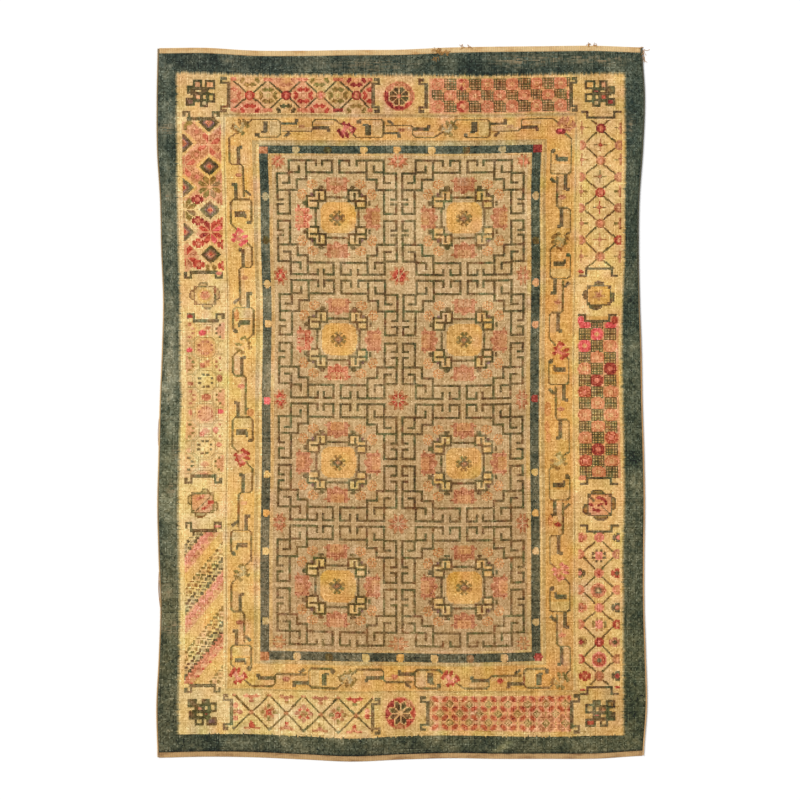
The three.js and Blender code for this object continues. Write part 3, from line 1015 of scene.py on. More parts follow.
def drawRoundels():
    drawWheel(198.5, 35.5, ["rust", "brick", "brick", "red", "crimson", "crimson", "crimson", "brick"],
              "salmon", 1.0, 9.6, 0.09)
    drawWheel(199.2, 554.2, ["red", "rust", "red", "red", "rust", "red", "crimson", "crimson"],
              "cream", 1.06, 11.0, 0.18)
    for place in [
        ((27.4, 196.6, 45, 211.6), (31, 39.4, 198, 208.4, 34, 43, 199.4, 208), "cream", "tan", "brown"),
        ((26.8, 371, 44.8, 387.6), (34.4, 41.2, 377.6, 386.4, 28.6, 39, 372, 381), "peach", "dash", "vine"),
        ((353.5, 196.5, 372.4, 212.6), (358.6, 367.2, 201.6, 210.6, 355, 366, 200, 208), "gold", "moss"),
        ((353.2, 371.8, 372.3, 389.6), (356, 366.6, 374, 385.4, 358, 370, 380, 388.6), "peach", "olive"),
    ]:
        drawFrameFlower(*place)
    ovals([(36.4, 204, 6.2, 5.8, "gold"), (36.4, 204, 4.4, 4.2, "peach"), (363, 204.4, 7.2, 6.0, "honey")])
    rosette(36.4, 204, 3.4, 3.4, "salmon", 20, 0.45)
    rosette(362.8, 204.4, 5.0, 4.8, "clay", 10, 0.42)
    for points, wide, dye in [
        ([(31, 376), (36, 373.6)], 3, "salmon"), ([(30, 386), (42, 374)], 1.2, "leaf"),
        ([(37, 384), (42, 380.6)], 2.4, "salmon"), ([(36, 384), (37.6, 383.4)], 2, "red"),
        ([(41, 378.4), (44, 378.4)], 2.6, "red"), ([(355, 374), (358, 377)], 1.6, "leaf"),
        ([(361, 374.6), (364, 374.6), (367.6, 377.6), (368, 380)], 2.4, "crimson"),
        ([(362, 381), (365, 379.4)], 1.6, "crimson"), ([(355, 379.8), (356.8, 381)], 2.6, "crimson"),
        ([(358, 384.6), (362.4, 385.6)], 2.6, "crimson"), ([(364, 381), (370.6, 387.6)], 1.2, "leaf"),
    ]:
        stroke(points, wide, dye)


def drawPanels():
    for draw, left, top, right, bottom in [
        (ringLattice, 61, 20, 177, 50), (flowerCheck, 223, 20, 338, 50), (starPanel, 20, 56, 53, 186),
        (octagonPanel, 20, 226, 53, 358), (slantPanel, 20, 404, 53, 531), (crossLattice, 346, 57, 380, 182),
        (hatchCheck, 346, 222, 380, 360), (flowerLattice, 346, 404, 380, 531),
        (lineLattice, 61, 540, 177, 570), (petalCheck, 223, 540, 339, 570),
    ]:
        # a panel's motifs stop at its edges
        before = chart.copy()
        draw()
        inside = chart[top:bottom, left:right].copy()
        chart[:] = before
        chart[top:bottom, left:right] = inside
    drawRoundels()
    for place in endless["places"]:
        drawEndless(*place)
    for place in brackets:
        drawBracket(*place)
    ovals([(23.6, 221.6, 2.4, 1.3, "crimson"), (48.4, 399, 2.4, 1.3, "pink"), (48.6, 185.4, 2.4, 1.3, "pink"),
           (347.6, 184.6, 2.4, 1.3, "red"), (349, 535, 2.4, 1.3, "red"), (378, 533.2, 2.4, 1.3, "red")], 3)


drawBorders()
drawGuard()
drawField()
drawVine()
drawPanels()
featherBorder()
print("design charted:", len(np.unique(chart)), "yarns")


# --- how the dyes have worn: uneven dye lots, leaning tufts, faded patches, streaks along warp and weft, with painted highlight and painted shade on a ripple and a painted shadow by the bottom tape
wear = {
    "light": 1.12,          # how brightly the studio lights a white sheet
    # spread of lightness from knot to knot, over a few knots and over a hand's width
    "kinds": {"dark": (18, 8, 10), "line": (16, 6, 7), "bright": (19, 5, 6), "light": (14, 4, 4)},
    "darkWarmth": (1.22, 1.0, 0.8),
    # every other column and row of knots lies a little deeper: painted shade on those knots, painted light on
    # the others
    "warpGrid": 3.5, "weftGrid": 2.5, "gridDrift": 0.6,
    "dark": ("night", "guard"),
    "line": ("fret", "vine", "leaf", "umber", "moss", "ink", "indigo", "olive", "brown"),
    "bright": ("salmon", "coral", "pink", "hotPink", "red", "crimson", "rust", "brick", "orange"),
    "apricot": (2, -1, -4), "straw": (-1, 1, -3), "plum": (3.6, -1.2, 1.2), "teal": (-6, 1, 2),
    "sandShare": 0.3, "lean": 0.2, "streak": 3.5, "wornLine": 5, "wornMean": 0.28, "mostWorn": 0.85,
    "dustDrift": 0.25, "bareMean": 0.62, "bareRows": 0.55, "bareColumns": 0.3,
    "fleckShare": 0.2, "fleckFrom": 1.5, "mostFleck": 0.5, "darkest": 6, "lightest": 252,
    "warp": (160, 136, 102), "dust": (152, 150, 122), "fleck": (158, 136, 104),
    # broad patches that have faded or darkened, and spots of painted highlight, painted shade and painted
    # shadow: column, row, reach across, reach along, change
    "fadesAndPaintedLight": [
        (68, 265, 14, 70, (9, 11, 9)), (200, 62, 130, 14, (-12, -10, -5)), (88, 330, 6, 160, (15, 9, 4)),
        (60, 582, 160, 8, (-8, -6, -4)), (60, 8, 100, 9, (-8, -8, -4)), (36, 470, 20, 70, (6, 8, 8)),
        (311, 150, 6, 60, (7, 7, 3)), (311, 430, 6, 60, (18, 13, 7)), (7, 350, 9, 55, (9, 7, 0)),
        (7, 480, 9, 60, (10, 6, -2)), (198, 35, 13, 13, (-8, -15, -12)), (199, 555, 13, 13, (-11, -18, -12)),
        (300, 13, 70, 4, (-12, -11, -8)), (262, 8, 14, 6, (-10, -9, -6)), (390, 60, 8, 60, (-6, -4, -1)),
        (390, 200, 8, 80, (-6, -4, -2)), (36, 290, 18, 60, (4, 5, 3)), (36, 555, 12, 12, (-20, -11, -9)),
        (363, 555, 12, 12, (-9, -4, -3)), (330, 130, 10, 60, (-5, -3, -2)),
        # painted highlight along the crest of the ripple near the bottom end, painted shade on either side of
        # it, and a painted shadow along the pile's edge by the bottom tape
        (277, 586, 3.2, 2.4, (44, 40, 28)), (282, 582.5, 3.4, 2.4, (50, 45, 31)),
        (287, 579, 3.4, 2.4, (44, 40, 28)), (299, 580, 7, 4, (-20, -18, -14)),
        (267, 581, 6, 4, (-18, -16, -12)), (200, 588, 400, 1.6, (-42, -40, -30)),
        # more faded or darkened patches
        (391, 520, 8, 60, (8, 8, 5)), (180, 582, 12, 4, (-12, -12, -9)),
        (214, 583, 10, 3, (-10, -10, -8)), (105, 63, 50, 9, (-5, -3, 0)),
        (118, 556, 70, 18, (11, 14, 12)), (363, 300, 20, 80, (7, 8, 3)), (363, 470, 20, 70, (-6, -8, -6)),
        (330, 300, 12, 120, (8, 5, 0)), (36, 110, 20, 70, (8, 7, 3)),
    ],
    # where the dark pile is worn: column, row, reach across, reach along, amount
    "bare": [
        (7, 272, 9, 46, 0.10), (176, 9, 44, 7, 0.34), (6, 64, 8, 5, 0.45), (6, 120, 8, 5, 0.3),
        (330, 6, 44, 4, 0.5), (372, 7, 12, 5, 0.35), (290, 8, 16, 6, 0.3), (387, 60, 5, 8, 0.4),
        (88, 180, 5, 70, 0.16),
        (88, 300, 5, 60, 0.26), (88, 440, 5, 70, 0.36), (10, 366, 5, 7, 0.5), (13, 336, 4, 5, 0.5),
        (6, 452, 6, 8, 0.4), (8, 484, 8, 6, 0.5), (386, 206, 4, 5, 0.35), (311, 200, 5, 90, 0.1),
        (311, 400, 5, 110, 0.18), (150, 508, 60, 4, 0.16),
    ],
    # where it is dusty, the same way
    "dusty": [
        (7, 40, 10, 60, 0.34), (7, 150, 10, 70, 0.38), (7, 275, 10, 62, 0.66), (7, 380, 10, 50, 0.48),
        (7, 500, 10, 60, 0.24), (392, 280, 9, 60, 0.16), (391, 430, 9, 80, 0.12), (230, 581, 190, 9, 0.1),
        (60, 581, 40, 9, 0.1), (88, 180, 6, 60, 0.2), (200, 81, 90, 5, 0.1),
    ],
}


def cloud(seed, tall, wide):
    # smooth random values over the chart, about one standard deviation high
    grid = np.random.default_rng(seed).normal(size=(int(rowCount / tall) + 3, int(columnCount / wide) + 3))
    down, over = np.arange(rowCount) / tall, np.arange(columnCount) / wide
    r, c = down.astype(int), over.astype(int)
    t, u = (down - r)[:, None], (over - c)[None, :]
    t, u = t * t * (3 - 2 * t), u * u * (3 - 2 * u)
    mixed = ((grid[r][:, c] * (1 - u) + grid[r][:, c + 1] * u) * (1 - t)
             + (grid[r + 1][:, c] * (1 - u) + grid[r + 1][:, c + 1] * u) * t)
    return mixed / mixed.std()


def spots(places):
    # soft-edged patches, summed
    down, over = np.mgrid[0:rowCount, 0:columnCount] + 0.5
    amount = np.zeros(chart.shape)
    for column, row, across, along, strength in places:
        amount += strength * np.exp(-((over - column) / across) ** 2 - ((down - row) / along) ** 2)
    return amount


def isOne(names):
    return np.isin(chart, [dyeNames.index(name) for name in names])[:, :, None]


def leaned(look):
    # each tuft covers a little of one of its neighbours
    rng = np.random.default_rng(31)
    way = rng.integers(0, 4, size=chart.shape)
    padded = np.pad(look, ((1, 1), (1, 1), (0, 0)), mode="edge")
    sides = [padded[:-2, 1:-1], padded[2:, 1:-1], padded[1:-1, :-2], padded[1:-1, 2:]]
    other = sum(side * (way == k)[:, :, None] for k, side in enumerate(sides))
    share = rng.uniform(0, wear["lean"], size=chart.shape)[:, :, None]
    return look * (1 - share) + other * share


def softened(look):
    # the dark border has bled into the pale silk beside it
    for line, axis in [(15, 1), (383, 1), (17, 0)]:
        part = np.moveaxis(look, axis, 0)
        before = part.copy()
        for k in range(line - 2, line + 2):
            part[k] = before[k - 1:k + 2].mean(axis=0)
    return look


def yarnColours():
    def patchy(seed, tall, wide):
        return cloud(seed, tall, wide)[:, :, None]

    def covered(look, share, name):
        return look * (1 - share) + np.array(wear[name]) * share

    corners = np.array([dyes[name] for name in dyeNames], dtype=float)[chart]
    u = ((np.arange(columnCount) + 0.5) / columnCount)[None, :, None]
    v = ((np.arange(rowCount) + 0.5) / rowCount)[:, None, None]
    look = ((corners[:, :, 0] * (1 - u) + corners[:, :, 1] * u) * (1 - v)
            + (corners[:, :, 2] * (1 - u) + corners[:, :, 3] * u) * v)
    masks = {kind: isOne(wear[kind]) for kind in ("dark", "line", "bright")}
    masks["light"] = ~(masks["dark"] | masks["line"] | masks["bright"])
    dark, lines = masks["dark"], masks["line"]
    # dye lots: apricot and straw in the pale silk, plum and teal in the worn lines
    drift = np.array(wear["apricot"]) * patchy(12, 15, 10) + np.array(wear["straw"]) * patchy(13, 11, 9)
    look += masks["light"] * drift * np.where(isOne(["sand", "sandLight"]), wear["sandShare"], 1)
    look += lines * (np.array(wear["plum"]) * patchy(14, 4, 4) + np.array(wear["teal"]) * patchy(26, 5, 5))
    # the dark silk turns dusty, then shows its ground
    dusty = spots(wear["dusty"])[:, :, None] * (1 + wear["dustDrift"] * patchy(16, 7, 7))
    dusty = np.clip(dusty, 0, wear["mostWorn"])
    look = leaned(softened(covered(look, dusty * dark, "dust")))
    # faded patches, painted highlight, painted shade and painted shadow, added to the colour
    for *place, tint in wear["fadesAndPaintedLight"]:
        look += spots([(*place, 1)])[:, :, None] * np.array(tint)

    fine = np.random.default_rng(11).normal(size=chart.shape)[:, :, None]
    soft, broad = patchy(17, 2.6, 2.4), patchy(18, 19, 15)
    for kind, (first, second, third) in wear["kinds"].items():
        warmth = np.array(wear["darkWarmth"] if kind == "dark" else (1.0, 1.0, 1.0))
        look += masks[kind] * (first * fine + (second * soft + third * broad) * warmth)
    streaks = cloud(19, 1, 30) + cloud(20, 40, 1)
    down, over = np.arange(rowCount)[:, None], np.arange(columnCount)[None, :]
    # painted shade on every other column and row of knots, as if they lay deeper, and painted light between
    weaveShade = (wear["warpGrid"] * np.cos(np.pi * over) * (1 + wear["gridDrift"] * cloud(27, 16, 5))
             + wear["weftGrid"] * np.cos(np.pi * down) * (1 + wear["gridDrift"] * cloud(28, 5, 16)))
    grid = np.clip(cloud(21, 1, 13) - 0.5, 0, 2) + np.clip(cloud(22, 17, 1) - 0.5, 0, 2)
    look += (weaveShade + wear["streak"] * streaks - wear["wornLine"] * (grid - wear["wornMean"]))[:, :, None]

    ragged = wear["bareMean"] + wear["bareRows"] * cloud(23, 1, 5) + wear["bareColumns"] * cloud(24, 4, 1)
    bare = np.clip(spots(wear["bare"]) * ragged, 0, wear["mostWorn"])[:, :, None]
    flecks = np.random.default_rng(25).normal(size=chart.shape)[:, :, None] - wear["fleckFrom"]
    flecks = np.clip(wear["fleckShare"] * flecks, 0, wear["mostFleck"])
    look = covered(covered(look, bare * dark, "warp"), flecks * dark, "fleck")
    shade = np.clip(look, wear["darkest"], wear["lightest"]) / 255
    return ((shade + 0.055) / 1.055) ** 2.4 / wear["light"]


yarns = yarnColours()
print("yarns dyed")

# --- the pile, four lengthwise strips of one cloth
pile = {
    "strips": [(0, 94), (94, 200), (200, 304), (304, 400)],
    "height": 6.1, "unevenness": 0.16, "swell": 0.22, "rimDrop": 1.3, "rimReach": 1.2, "bareDrop": 1.2,
    "under": 0.25, "underUnevenness": 0.06, "underLift": 0.92, "shift": 0.3,
    "underShade": 0.86, "wallShade": 0.8, "seamAngle": 1.0,
    # low ridges near the bottom end, in millimetres: from, to, height, half width
    "ridges": [((300, -1143), (332, -1098), 1.6, 9), ((345, -1145), (398, -1090), 5.4, 10),
               ((430, -1143), (452, -1100), 3.2, 9), ((-120, -1143), (-96, -1112), 1.4, 9)],
}


def ridgeLift(x, y):
    lift = np.zeros_like(x)
    for (x0, y0), (x1, y1), high, wide in pile["ridges"]:
        dx, dy = x1 - x0, y1 - y0
        share = ((x - x0) * dx + (y - y0) * dy) / (dx * dx + dy * dy)
        near = np.clip(share, 0, 1)
        away = np.hypot(x - x0 - near * dx, y - y0 - near * dy)
        lift += high * np.exp(-(away / wide) ** 2) * np.clip(1.25 - np.maximum(share, 0), 0, 1)
    return lift


def pileSurface():
    # heights of the top and the underside at every knot corner, and where knots have crept
    rng = np.random.default_rng(21)
    shape = (rowCount + 1, columnCount + 1)
    down, over = np.mgrid[0:shape[0], 0:shape[1]]
    rim = np.minimum(np.minimum(over, columnCount - over), np.minimum(down, rowCount - down))
    lift = ridgeLift(knotX, knotY)
    swell, bare = (np.pad(part, (0, 1), mode="edge") for part in (cloud(22, 9, 9), spots(wear["bare"])))
    top = (pile["height"] + rng.normal(size=shape) * pile["unevenness"] + swell * pile["swell"]
           - pile["rimDrop"] * np.exp(-rim / pile["rimReach"]) - pile["bareDrop"] * bare + lift)
    under = (pile["under"] + np.clip(rng.normal(size=shape), -1, 1) * pile["underUnevenness"]
             + lift * pile["underLift"])
    x, y = (line + np.clip(rng.normal(size=shape), -1.6, 1.6) * pile["shift"] * np.clip(rim, 0, 1)
            for line in (knotX, knotY))
    return x, y, top, under


surfaceX, surfaceY, surfaceTop, surfaceUnder = pileSurface()


def setAll(holder, name, values, kind=np.float32):
    holder.foreach_set(name, np.asarray(values).astype(kind).ravel())


def stripMesh(name, first, last):
    wide = last - first
    halfRows, halfWide = rowCount // 2, wide // 2
    cut, half = slice(first, last + 1), slice(first, last + 1, 2)
    topPoints, underPoints = (
        np.stack([part[every] for part in (surfaceX, surfaceY, height)], -1).reshape(-1, 3)
        for every, height in ((np.s_[:, cut], surfaceTop), (np.s_[::2, half], surfaceUnder)))
    dyed = yarns[:, first:last]

    def topIndex(r, c):
        return r * (wide + 1) + c

    def underIndex(r, c):
        return len(topPoints) + r * (halfWide + 1) + c

    # where each face lies on the map: the top as two half-length blocks side by side, then the underside,
    # and the walls in narrow strips along two edges of the map
    left, tall = 0.01, 0.975
    wallStrip, wallStep, wallDepth = 0.988, 0.006, 0.004

    def down(share):
        return 0.985 - tall * share

    def cells(rows, columns, order):
        r, c = (part.ravel()[:, None] for part in np.mgrid[0:rows, 0:columns])
        return r, c, r + np.array([0, 1, 1, 0])[order], c + np.array([0, 0, 1, 1])[order]

    groups = []     # corner indices, corner places on the map, corner places in knots, colours
    r, c, rows, columns = cells(rowCount, wide, [0, 1, 2, 3])
    block = (r >= halfRows) * 1.0
    place = np.stack([left + 0.33 * block + 0.32 * columns / wide, down(rows / halfRows - block)], -1)
    knots = np.stack([columns + first, rows], -1)
    groups.append((topIndex(rows, columns), place, knots, dyed[r[:, 0], c[:, 0]]))
    r, c, rows, columns = cells(halfRows, halfWide, [0, 3, 2, 1])
    place = np.stack([0.67 + 0.315 * columns / halfWide, down(rows / halfRows)], -1)
    knots = np.stack([2 * columns + first, 2 * rows], -1)
    shade = dyed[2 * r[:, 0], 2 * c[:, 0]] * pile["underShade"]
    groups.append((underIndex(rows, columns), place, knots, shade))
    for atEnd in (0, 1):
        flip = slice(None, None, -1 if atEnd else 1)
        for upright, steps, depths in [(True, [0, 0, 2, 2, 1], [0, 1, 1, 0, 0]),
                                       (False, [0, 1, 2, 2, 0], [0, 0, 0, 1, 1])]:
            # a side wall, then an end wall: each face takes two knots and one stitch of the underside
            count, rim = (halfRows, wide * atEnd) if upright else (halfWide, rowCount * atEnd)
            k = np.arange(count)[:, None]
            steps, depths, rim = 2 * k + steps, 0 * k + depths, 0 * k + [rim] * 5
            r, c = (steps, rim) if upright else (rim, steps)
            corners = np.where(depths, underIndex(r // 2, c // 2), topIndex(r, c))
            share, wall = steps / 2 / count, wallStrip + wallStep * atEnd + wallDepth * (1 - depths)
            place = np.stack([wall, down(share)] if upright else [left + tall * share, wall], -1)
            knots = np.stack([first + c + 1.5 * depths * upright, r + 1.5 * depths * (not upright)], -1)
            shade = dyed[np.minimum(r[:, 0], rowCount - 1), np.minimum(c[:, 0], wide - 1)] * pile["wallShade"]
            groups.append((corners[:, flip], place[:, flip], knots[:, flip], shade))

    def joined(column):
        return np.concatenate([part[column].reshape(-1, 2) for part in groups])

    mesh = bpy.data.meshes.new(name)
    points = np.concatenate([topPoints, underPoints]) * mm
    mesh.vertices.add(len(points))
    setAll(mesh.vertices, "co", points)
    sizes = np.concatenate([np.full(len(part[0]), part[0].shape[1]) for part in groups])
    mesh.loops.add(int(sizes.sum()))
    setAll(mesh.loops, "vertex_index", np.concatenate([part[0].ravel() for part in groups]), np.int32)
    mesh.polygons.add(len(sizes))
    setAll(mesh.polygons, "loop_start", np.cumsum(sizes) - sizes, np.int32)
    for title, column in (("OFBake", 1), ("knots", 2)):
        setAll(mesh.uv_layers.new(name=title).data, "uv", joined(column))
    layer = mesh.color_attributes.new(name="yarnColour", type="FLOAT_COLOR", domain="CORNER")
    colours = np.concatenate([np.repeat(part[3], part[0].shape[1], 0) for part in groups])
    setAll(layer.data, "color", np.pad(colours, ((0, 0), (0, 1)), constant_values=1))
    mesh.update(calc_edges=True)
    mesh.validate()
    mesh.set_sharp_from_angle(angle=pile["seamAngle"])
    return linked(name, mesh)


# --- materials
class Wire:
    # a node socket that can be added, multiplied and so on
    def __init__(self, tree, socket=None):
        self.tree, self.socket = tree, socket

    def add(self, kind, inputs=None, output=0, **settings):
        node = self.tree.nodes.new(kind)
        for name, value in settings.items():
            setattr(node, name, value)
        for key, value in (inputs or {}).items():
            if isinstance(value, Wire):
                self.tree.links.new(value.socket, node.inputs[key])
            else:
                node.inputs[key].default_value = value
        return Wire(self.tree, node.outputs[output])

    def sum(self, operation, first, second):
        def widened(part, rest=()):
            return part if isinstance(part, Wire) or hasattr(part, "__len__") else (part,) * 3 + rest

        kinds = [part.socket.type for part in (first, second) if isinstance(part, Wire)]
        if "RGBA" in kinds:
            inputs = {"Factor": 1.0, 6: widened(first, (1,)), 7: widened(second, (1,))}
            return self.add("ShaderNodeMix", inputs, 2, data_type="RGBA", blend_type=operation)
        if "VECTOR" in kinds:
            inputs = {0: widened(first), 1: widened(second)}
            return self.add("ShaderNodeVectorMath", inputs, operation=operation)
        return self.add("ShaderNodeMath", {0: first, 1: second}, operation=operation)

    def __add__(self, other):
        return self.sum("ADD", self, other)

    __radd__ = __add__

    def __sub__(self, other):
        return self.sum("SUBTRACT", self, other)

    def __mul__(self, other):
        return self.sum("MULTIPLY", self, other)

    def __pow__(self, other):
        return self.sum("POWER", self, other)

    def noise(self, scale, detail, roughness=0.5):
        inputs = {"Vector": self, "Scale": scale, "Detail": detail, "Roughness": roughness}
        return self.add("ShaderNodeTexNoise", inputs)

    def wave(self, direction, scale, distortion):
        inputs = {"Vector": self, "Scale": scale, "Distortion": distortion, "Detail": 1.0}
        return self.add("ShaderNodeTexWave", inputs, bands_direction=direction)

    def gamma(self, power):
        return self.add("ShaderNodeGamma", {"Color": self, "Gamma": power})

    def feed(self, node, name):
        self.tree.links.new(self.socket, node.inputs[name])


def newMaterial(name, specular, sheen, sheenRoughness, tint):
    # returns the material, its shader and the place on the piece
    paint = bpy.data.materials.new(name)
    paint.use_nodes = True
    shader = paint.node_tree.nodes["Principled BSDF"]
    for key, value in (("Specular IOR Level", specular), ("Sheen Weight", sheen),
                       ("Sheen Roughness", sheenRoughness), ("Sheen Tint", (*tint, 1.0))):
        shader.inputs[key].default_value = value
    return paint, shader, Wire(paint.node_tree).add("ShaderNodeTexCoord", output="Object")


def dress(shader, colour, roughness, height, strength, distance):
    colour.feed(shader, "Base Color")
    roughness.feed(shader, "Roughness")
    bump = {"Strength": strength, "Distance": distance, "Height": height}
    height.add("ShaderNodeBump", bump).feed(shader, "Normal")


def pileMaterial():
    paint, shader, place = newMaterial("knottedSilk", 0.22, 0.12, 0.45, (1.0, 0.94, 0.84))
    yarn = place.add("ShaderNodeVertexColor", layer_name="yarnColour")
    fibre = place.noise(480, 2.0, 0.7)
    nap = (place * (1.0, 2.4, 1.0)).noise(60, 3.0)
    # fibre grain and painted glints, added to the colour as strong on dark yarn as on pale
    even = yarn.gamma(0.4545) + (fibre - 0.5) * 0.27
    # one swelling a knot, each way
    knots = place.add("ShaderNodeUVMap", uv_map="knots")
    ridges = []
    for way in ("X", "Y"):
        turn = place.add("ShaderNodeSeparateXYZ", {"Vector": knots}, way) * math.pi
        wave = place.add("ShaderNodeMath", {0: turn}, operation="SINE")
        ridges.append(place.add("ShaderNodeMath", {0: wave}, operation="ABSOLUTE"))
    tuft = (ridges[0] * ridges[1]) ** 0.5
    dress(shader, even.gamma(2.2) * (0.95 + nap * 0.1), 0.5 + fibre * 0.18 + nap * 0.12,
          tuft * 0.7 + fibre * 0.5, 0.55, 0.0009)
    return paint


def finishCloth(piece, paint, node):
    piece.data.materials.clear()
    piece.data.materials.append(paint)
    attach(piece, "root")
    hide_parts(node)


silk = pileMaterial()
strips = []
for number, (first, last) in enumerate(pile["strips"], 1):
    strip = stripMesh(f"pile_{number}", first, last)
    finishCloth(strip, silk, "rug_body")
    strips.append(strip)
    print("pile strip", number, "made:", len(strip.data.polygons), "faces")

# --- end tapes, side cords and loose threads
edging = {
    "ribPitch": 4.1, "ribWidth": 3.3, "ribHeight": 0.75, "ribShort": 1.4, "tapeBase": 1.9, "tapeSteps": 200,
    "wrapPitch": 4.4, "wrapReach": 2.35, "wrapThread": 0.72, "wrapLean": 0.16, "coreReach": 2.3,
    "coreStep": 11.0, "cordMiddle": 3.05, "threadReach": 0.62, "endSlack": 0.0012,
    # clean and soiled
    "tapeLooks": {"top": [(230, 198, 144), (206, 160, 100)], "bottom": [(198, 160, 108), (150, 110, 68)]},
    # shares of the length from the bottom end, and the look there
    "cordLooks": {
        "left": [(0.0, (190, 152, 98)), (0.3, (176, 146, 100)), (0.42, (206, 176, 126)),
                 (0.62, (206, 172, 120)), (0.72, (166, 140, 96)), (0.97, (160, 136, 96))],
        "right": [(0.0, (206, 166, 112)), (0.3, (196, 152, 100)), (0.55, (192, 150, 98)),
                  (0.66, (110, 98, 68)), (0.72, (84, 84, 62)), (1.0, (88, 86, 66))],
        "loose": [(0.0, (190, 138, 72)), (1.0, (188, 136, 70))],
    },
    # worn-through warps at the edges: x, y, reach x, reach y, count, length, heading, bend
    "tufts": [(118, 1160, 12, 8, 14, 20, 200, 22), (132, 1154, 12, 6, 10, 18, 20, 26),
              (150, 1146, 6, 5, 5, 12, 120, 20), (112, 1138, 10, 4, 6, 14, 265, 5),
              (205, 1169, 5, 2, 4, 16, 175, 16), (222, 1169, 6, 2, 4, 13, 30, 24),
              (614, 1173, 5, 3, 5, 15, 110, 10), (632, 1174, 6, 3, 5, 12, 60, 26),
              (784, 1166, 5, 4, 6, 8, 10, 24), (794, 1158, 3, 7, 6, 20, 268, 4),
              (797, 1136, 2, 5, 4, 18, 266, 4)],
    "threadSteps": 10, "threadTurn": 18, "threadWander": 12, "threadLift": 0.5,
    "onFloor": 0.8, "onTape": 3.4, "onPile": 7.2, "straySteps": 22, "strayHeight": 1.2,
    # strands that have come away along the left side: along from, along to, how far out
    "strays": [(0.212, 0.262, 4.0), (0.218, 0.25, 2.6), (0.44, 0.478, 2.2)],
}


def linear(look):
    # the paint that shows as this colour under the studio light
    return (*(((part / 255 + 0.055) / 1.055) ** 2.4 / wear["light"] for part in look), 1.0)


def clothLine(across, along, height):
    # points of the cloth's own lines, in metres from the origin
    x, y = clothPoint(np.asarray(across, dtype=float), np.asarray(along, dtype=float))
    return np.stack([x - middleX, y - middleY, height + 0 * x], -1) * mm


def runOf(name, lines):
    # a curve object with one straight-stepped run for each line
    data = bpy.data.curves.new(name, "CURVE")
    data.dimensions = "3D"
    for points in lines:
        run = data.splines.new("POLY")
        run.points.add(len(points) - 1)
        setAll(run.points, "co", np.pad(points, ((0, 0), (0, 1)), constant_values=1))
    return linked(name, data)


def newTree(name, *titles):
    # a node tree with named inputs
    tree = bpy.data.node_groups.new(name, "GeometryNodeTree")
    tree.interface.new_socket("Geometry", in_out="OUTPUT", socket_type="NodeSocketGeometry")
    titles = ("Geometry", *titles)
    for title in titles:
        kind = {"Geometry": "Geometry", "Seed": "Int"}.get(title, "Float")
        tree.interface.new_socket(title, in_out="INPUT", socket_type="NodeSocket" + kind)
    given = tree.nodes.new("NodeGroupInput")
    return Wire(tree), {title: Wire(tree, given.outputs[title]) for title in titles}


def closeTree(start, shape):
    # instances made real, then out
    real = start.add("GeometryNodeRealizeInstances", {"Geometry": shape})
    real.feed(start.tree.nodes.new("NodeGroupOutput"), "Geometry")
    return start.tree


def ring(start, resolution, reach):
    return start.add("GeometryNodeCurvePrimitiveCircle", {"Resolution": resolution, "Radius": reach})


def swept(start, line, profile, caps=True):
    return start.add("GeometryNodeCurveToMesh", {"Curve": line, "Profile Curve": profile, "Fill Caps": caps})


def evenly(start, line, step):
    return start.add("GeometryNodeResampleCurve", {"Curve": line, "Length": step}, mode="LENGTH")


def varied(start, given, low, high):
    return start.add("FunctionNodeRandomValue", {"Min": low, "Max": high, "Seed": given["Seed"]},
                     data_type="FLOAT_VECTOR")


def strewn(start, given, shape, axis, aim, size):
    # the shape at even steps along the line, one of its axes on the aim
    line = evenly(start, given["Geometry"], given["Pitch"])
    turn = start.add("FunctionNodeAlignRotationToVector", {"Vector": aim}, axis=axis)
    return start.add("GeometryNodeInstanceOnPoints", {
        "Points": line, "Instance": shape, "Rotation": turn, "Scale": size})


def ribTree():
    start, given = newTree("tapeRibs", "Pitch", "Rib Width", "Rib Height", "Rib Length", "Seed")
    ends = [start.add("ShaderNodeCombineXYZ", {"Y": given["Rib Length"] * share}) for share in (-0.5, 0.5)]
    spine = start.add("GeometryNodeCurvePrimitiveLine", {"Start": ends[0], "End": ends[1]})
    spine = start.add("GeometryNodeResampleCurve", {"Curve": spine, "Count": 5})
    flat = {"X": given["Rib Width"], "Y": given["Rib Height"] * 2.0, "Z": 1.0}
    flat = start.add("ShaderNodeCombineXYZ", flat)
    profile = start.add("GeometryNodeTransform", {"Geometry": ring(start, 7, 0.5), "Scale": flat})
    rib = swept(start, spine, profile)
    size = varied(start, given, (0.84, 0.985, 0.75), (1.06, 1.015, 1.2))
    tangent = start.add("GeometryNodeInputTangent")
    return closeTree(start, strewn(start, given, rib, "X", tangent, size))


def cordTree():
    start, given = newTree("overcastCord", "Pitch", "Wrap Reach", "Thread Reach", "Core Reach", "Core Step",
                           "Lean", "Seed")
    wrap = swept(start, ring(start, 10, given["Wrap Reach"]), ring(start, 4, given["Thread Reach"]), False)
    lean = varied(start, given, (-1.0, -0.3, -0.6), (1.0, 0.3, 1.4))
    lean = start.add("ShaderNodeVectorMath", {0: lean, "Scale": given["Lean"]}, operation="SCALE")
    size = varied(start, given, (0.9, 0.9, 0.8), (1.0, 1.0, 1.5))
    wraps = strewn(start, given, wrap, "Z", start.add("GeometryNodeInputTangent") + lean, size)
    core = evenly(start, given["Geometry"], given["Core Step"])
    core = swept(start, core, ring(start, 8, given["Core Reach"]))
    both = start.add("GeometryNodeJoinGeometry", {"Geometry": wraps})
    core.feed(both.socket.node, "Geometry")
    return closeTree(start, both)


def threadTree():
    start, given = newTree("looseThreads", "Thread Reach")
    return closeTree(start, swept(start, given["Geometry"], ring(start, 5, given["Thread Reach"])))


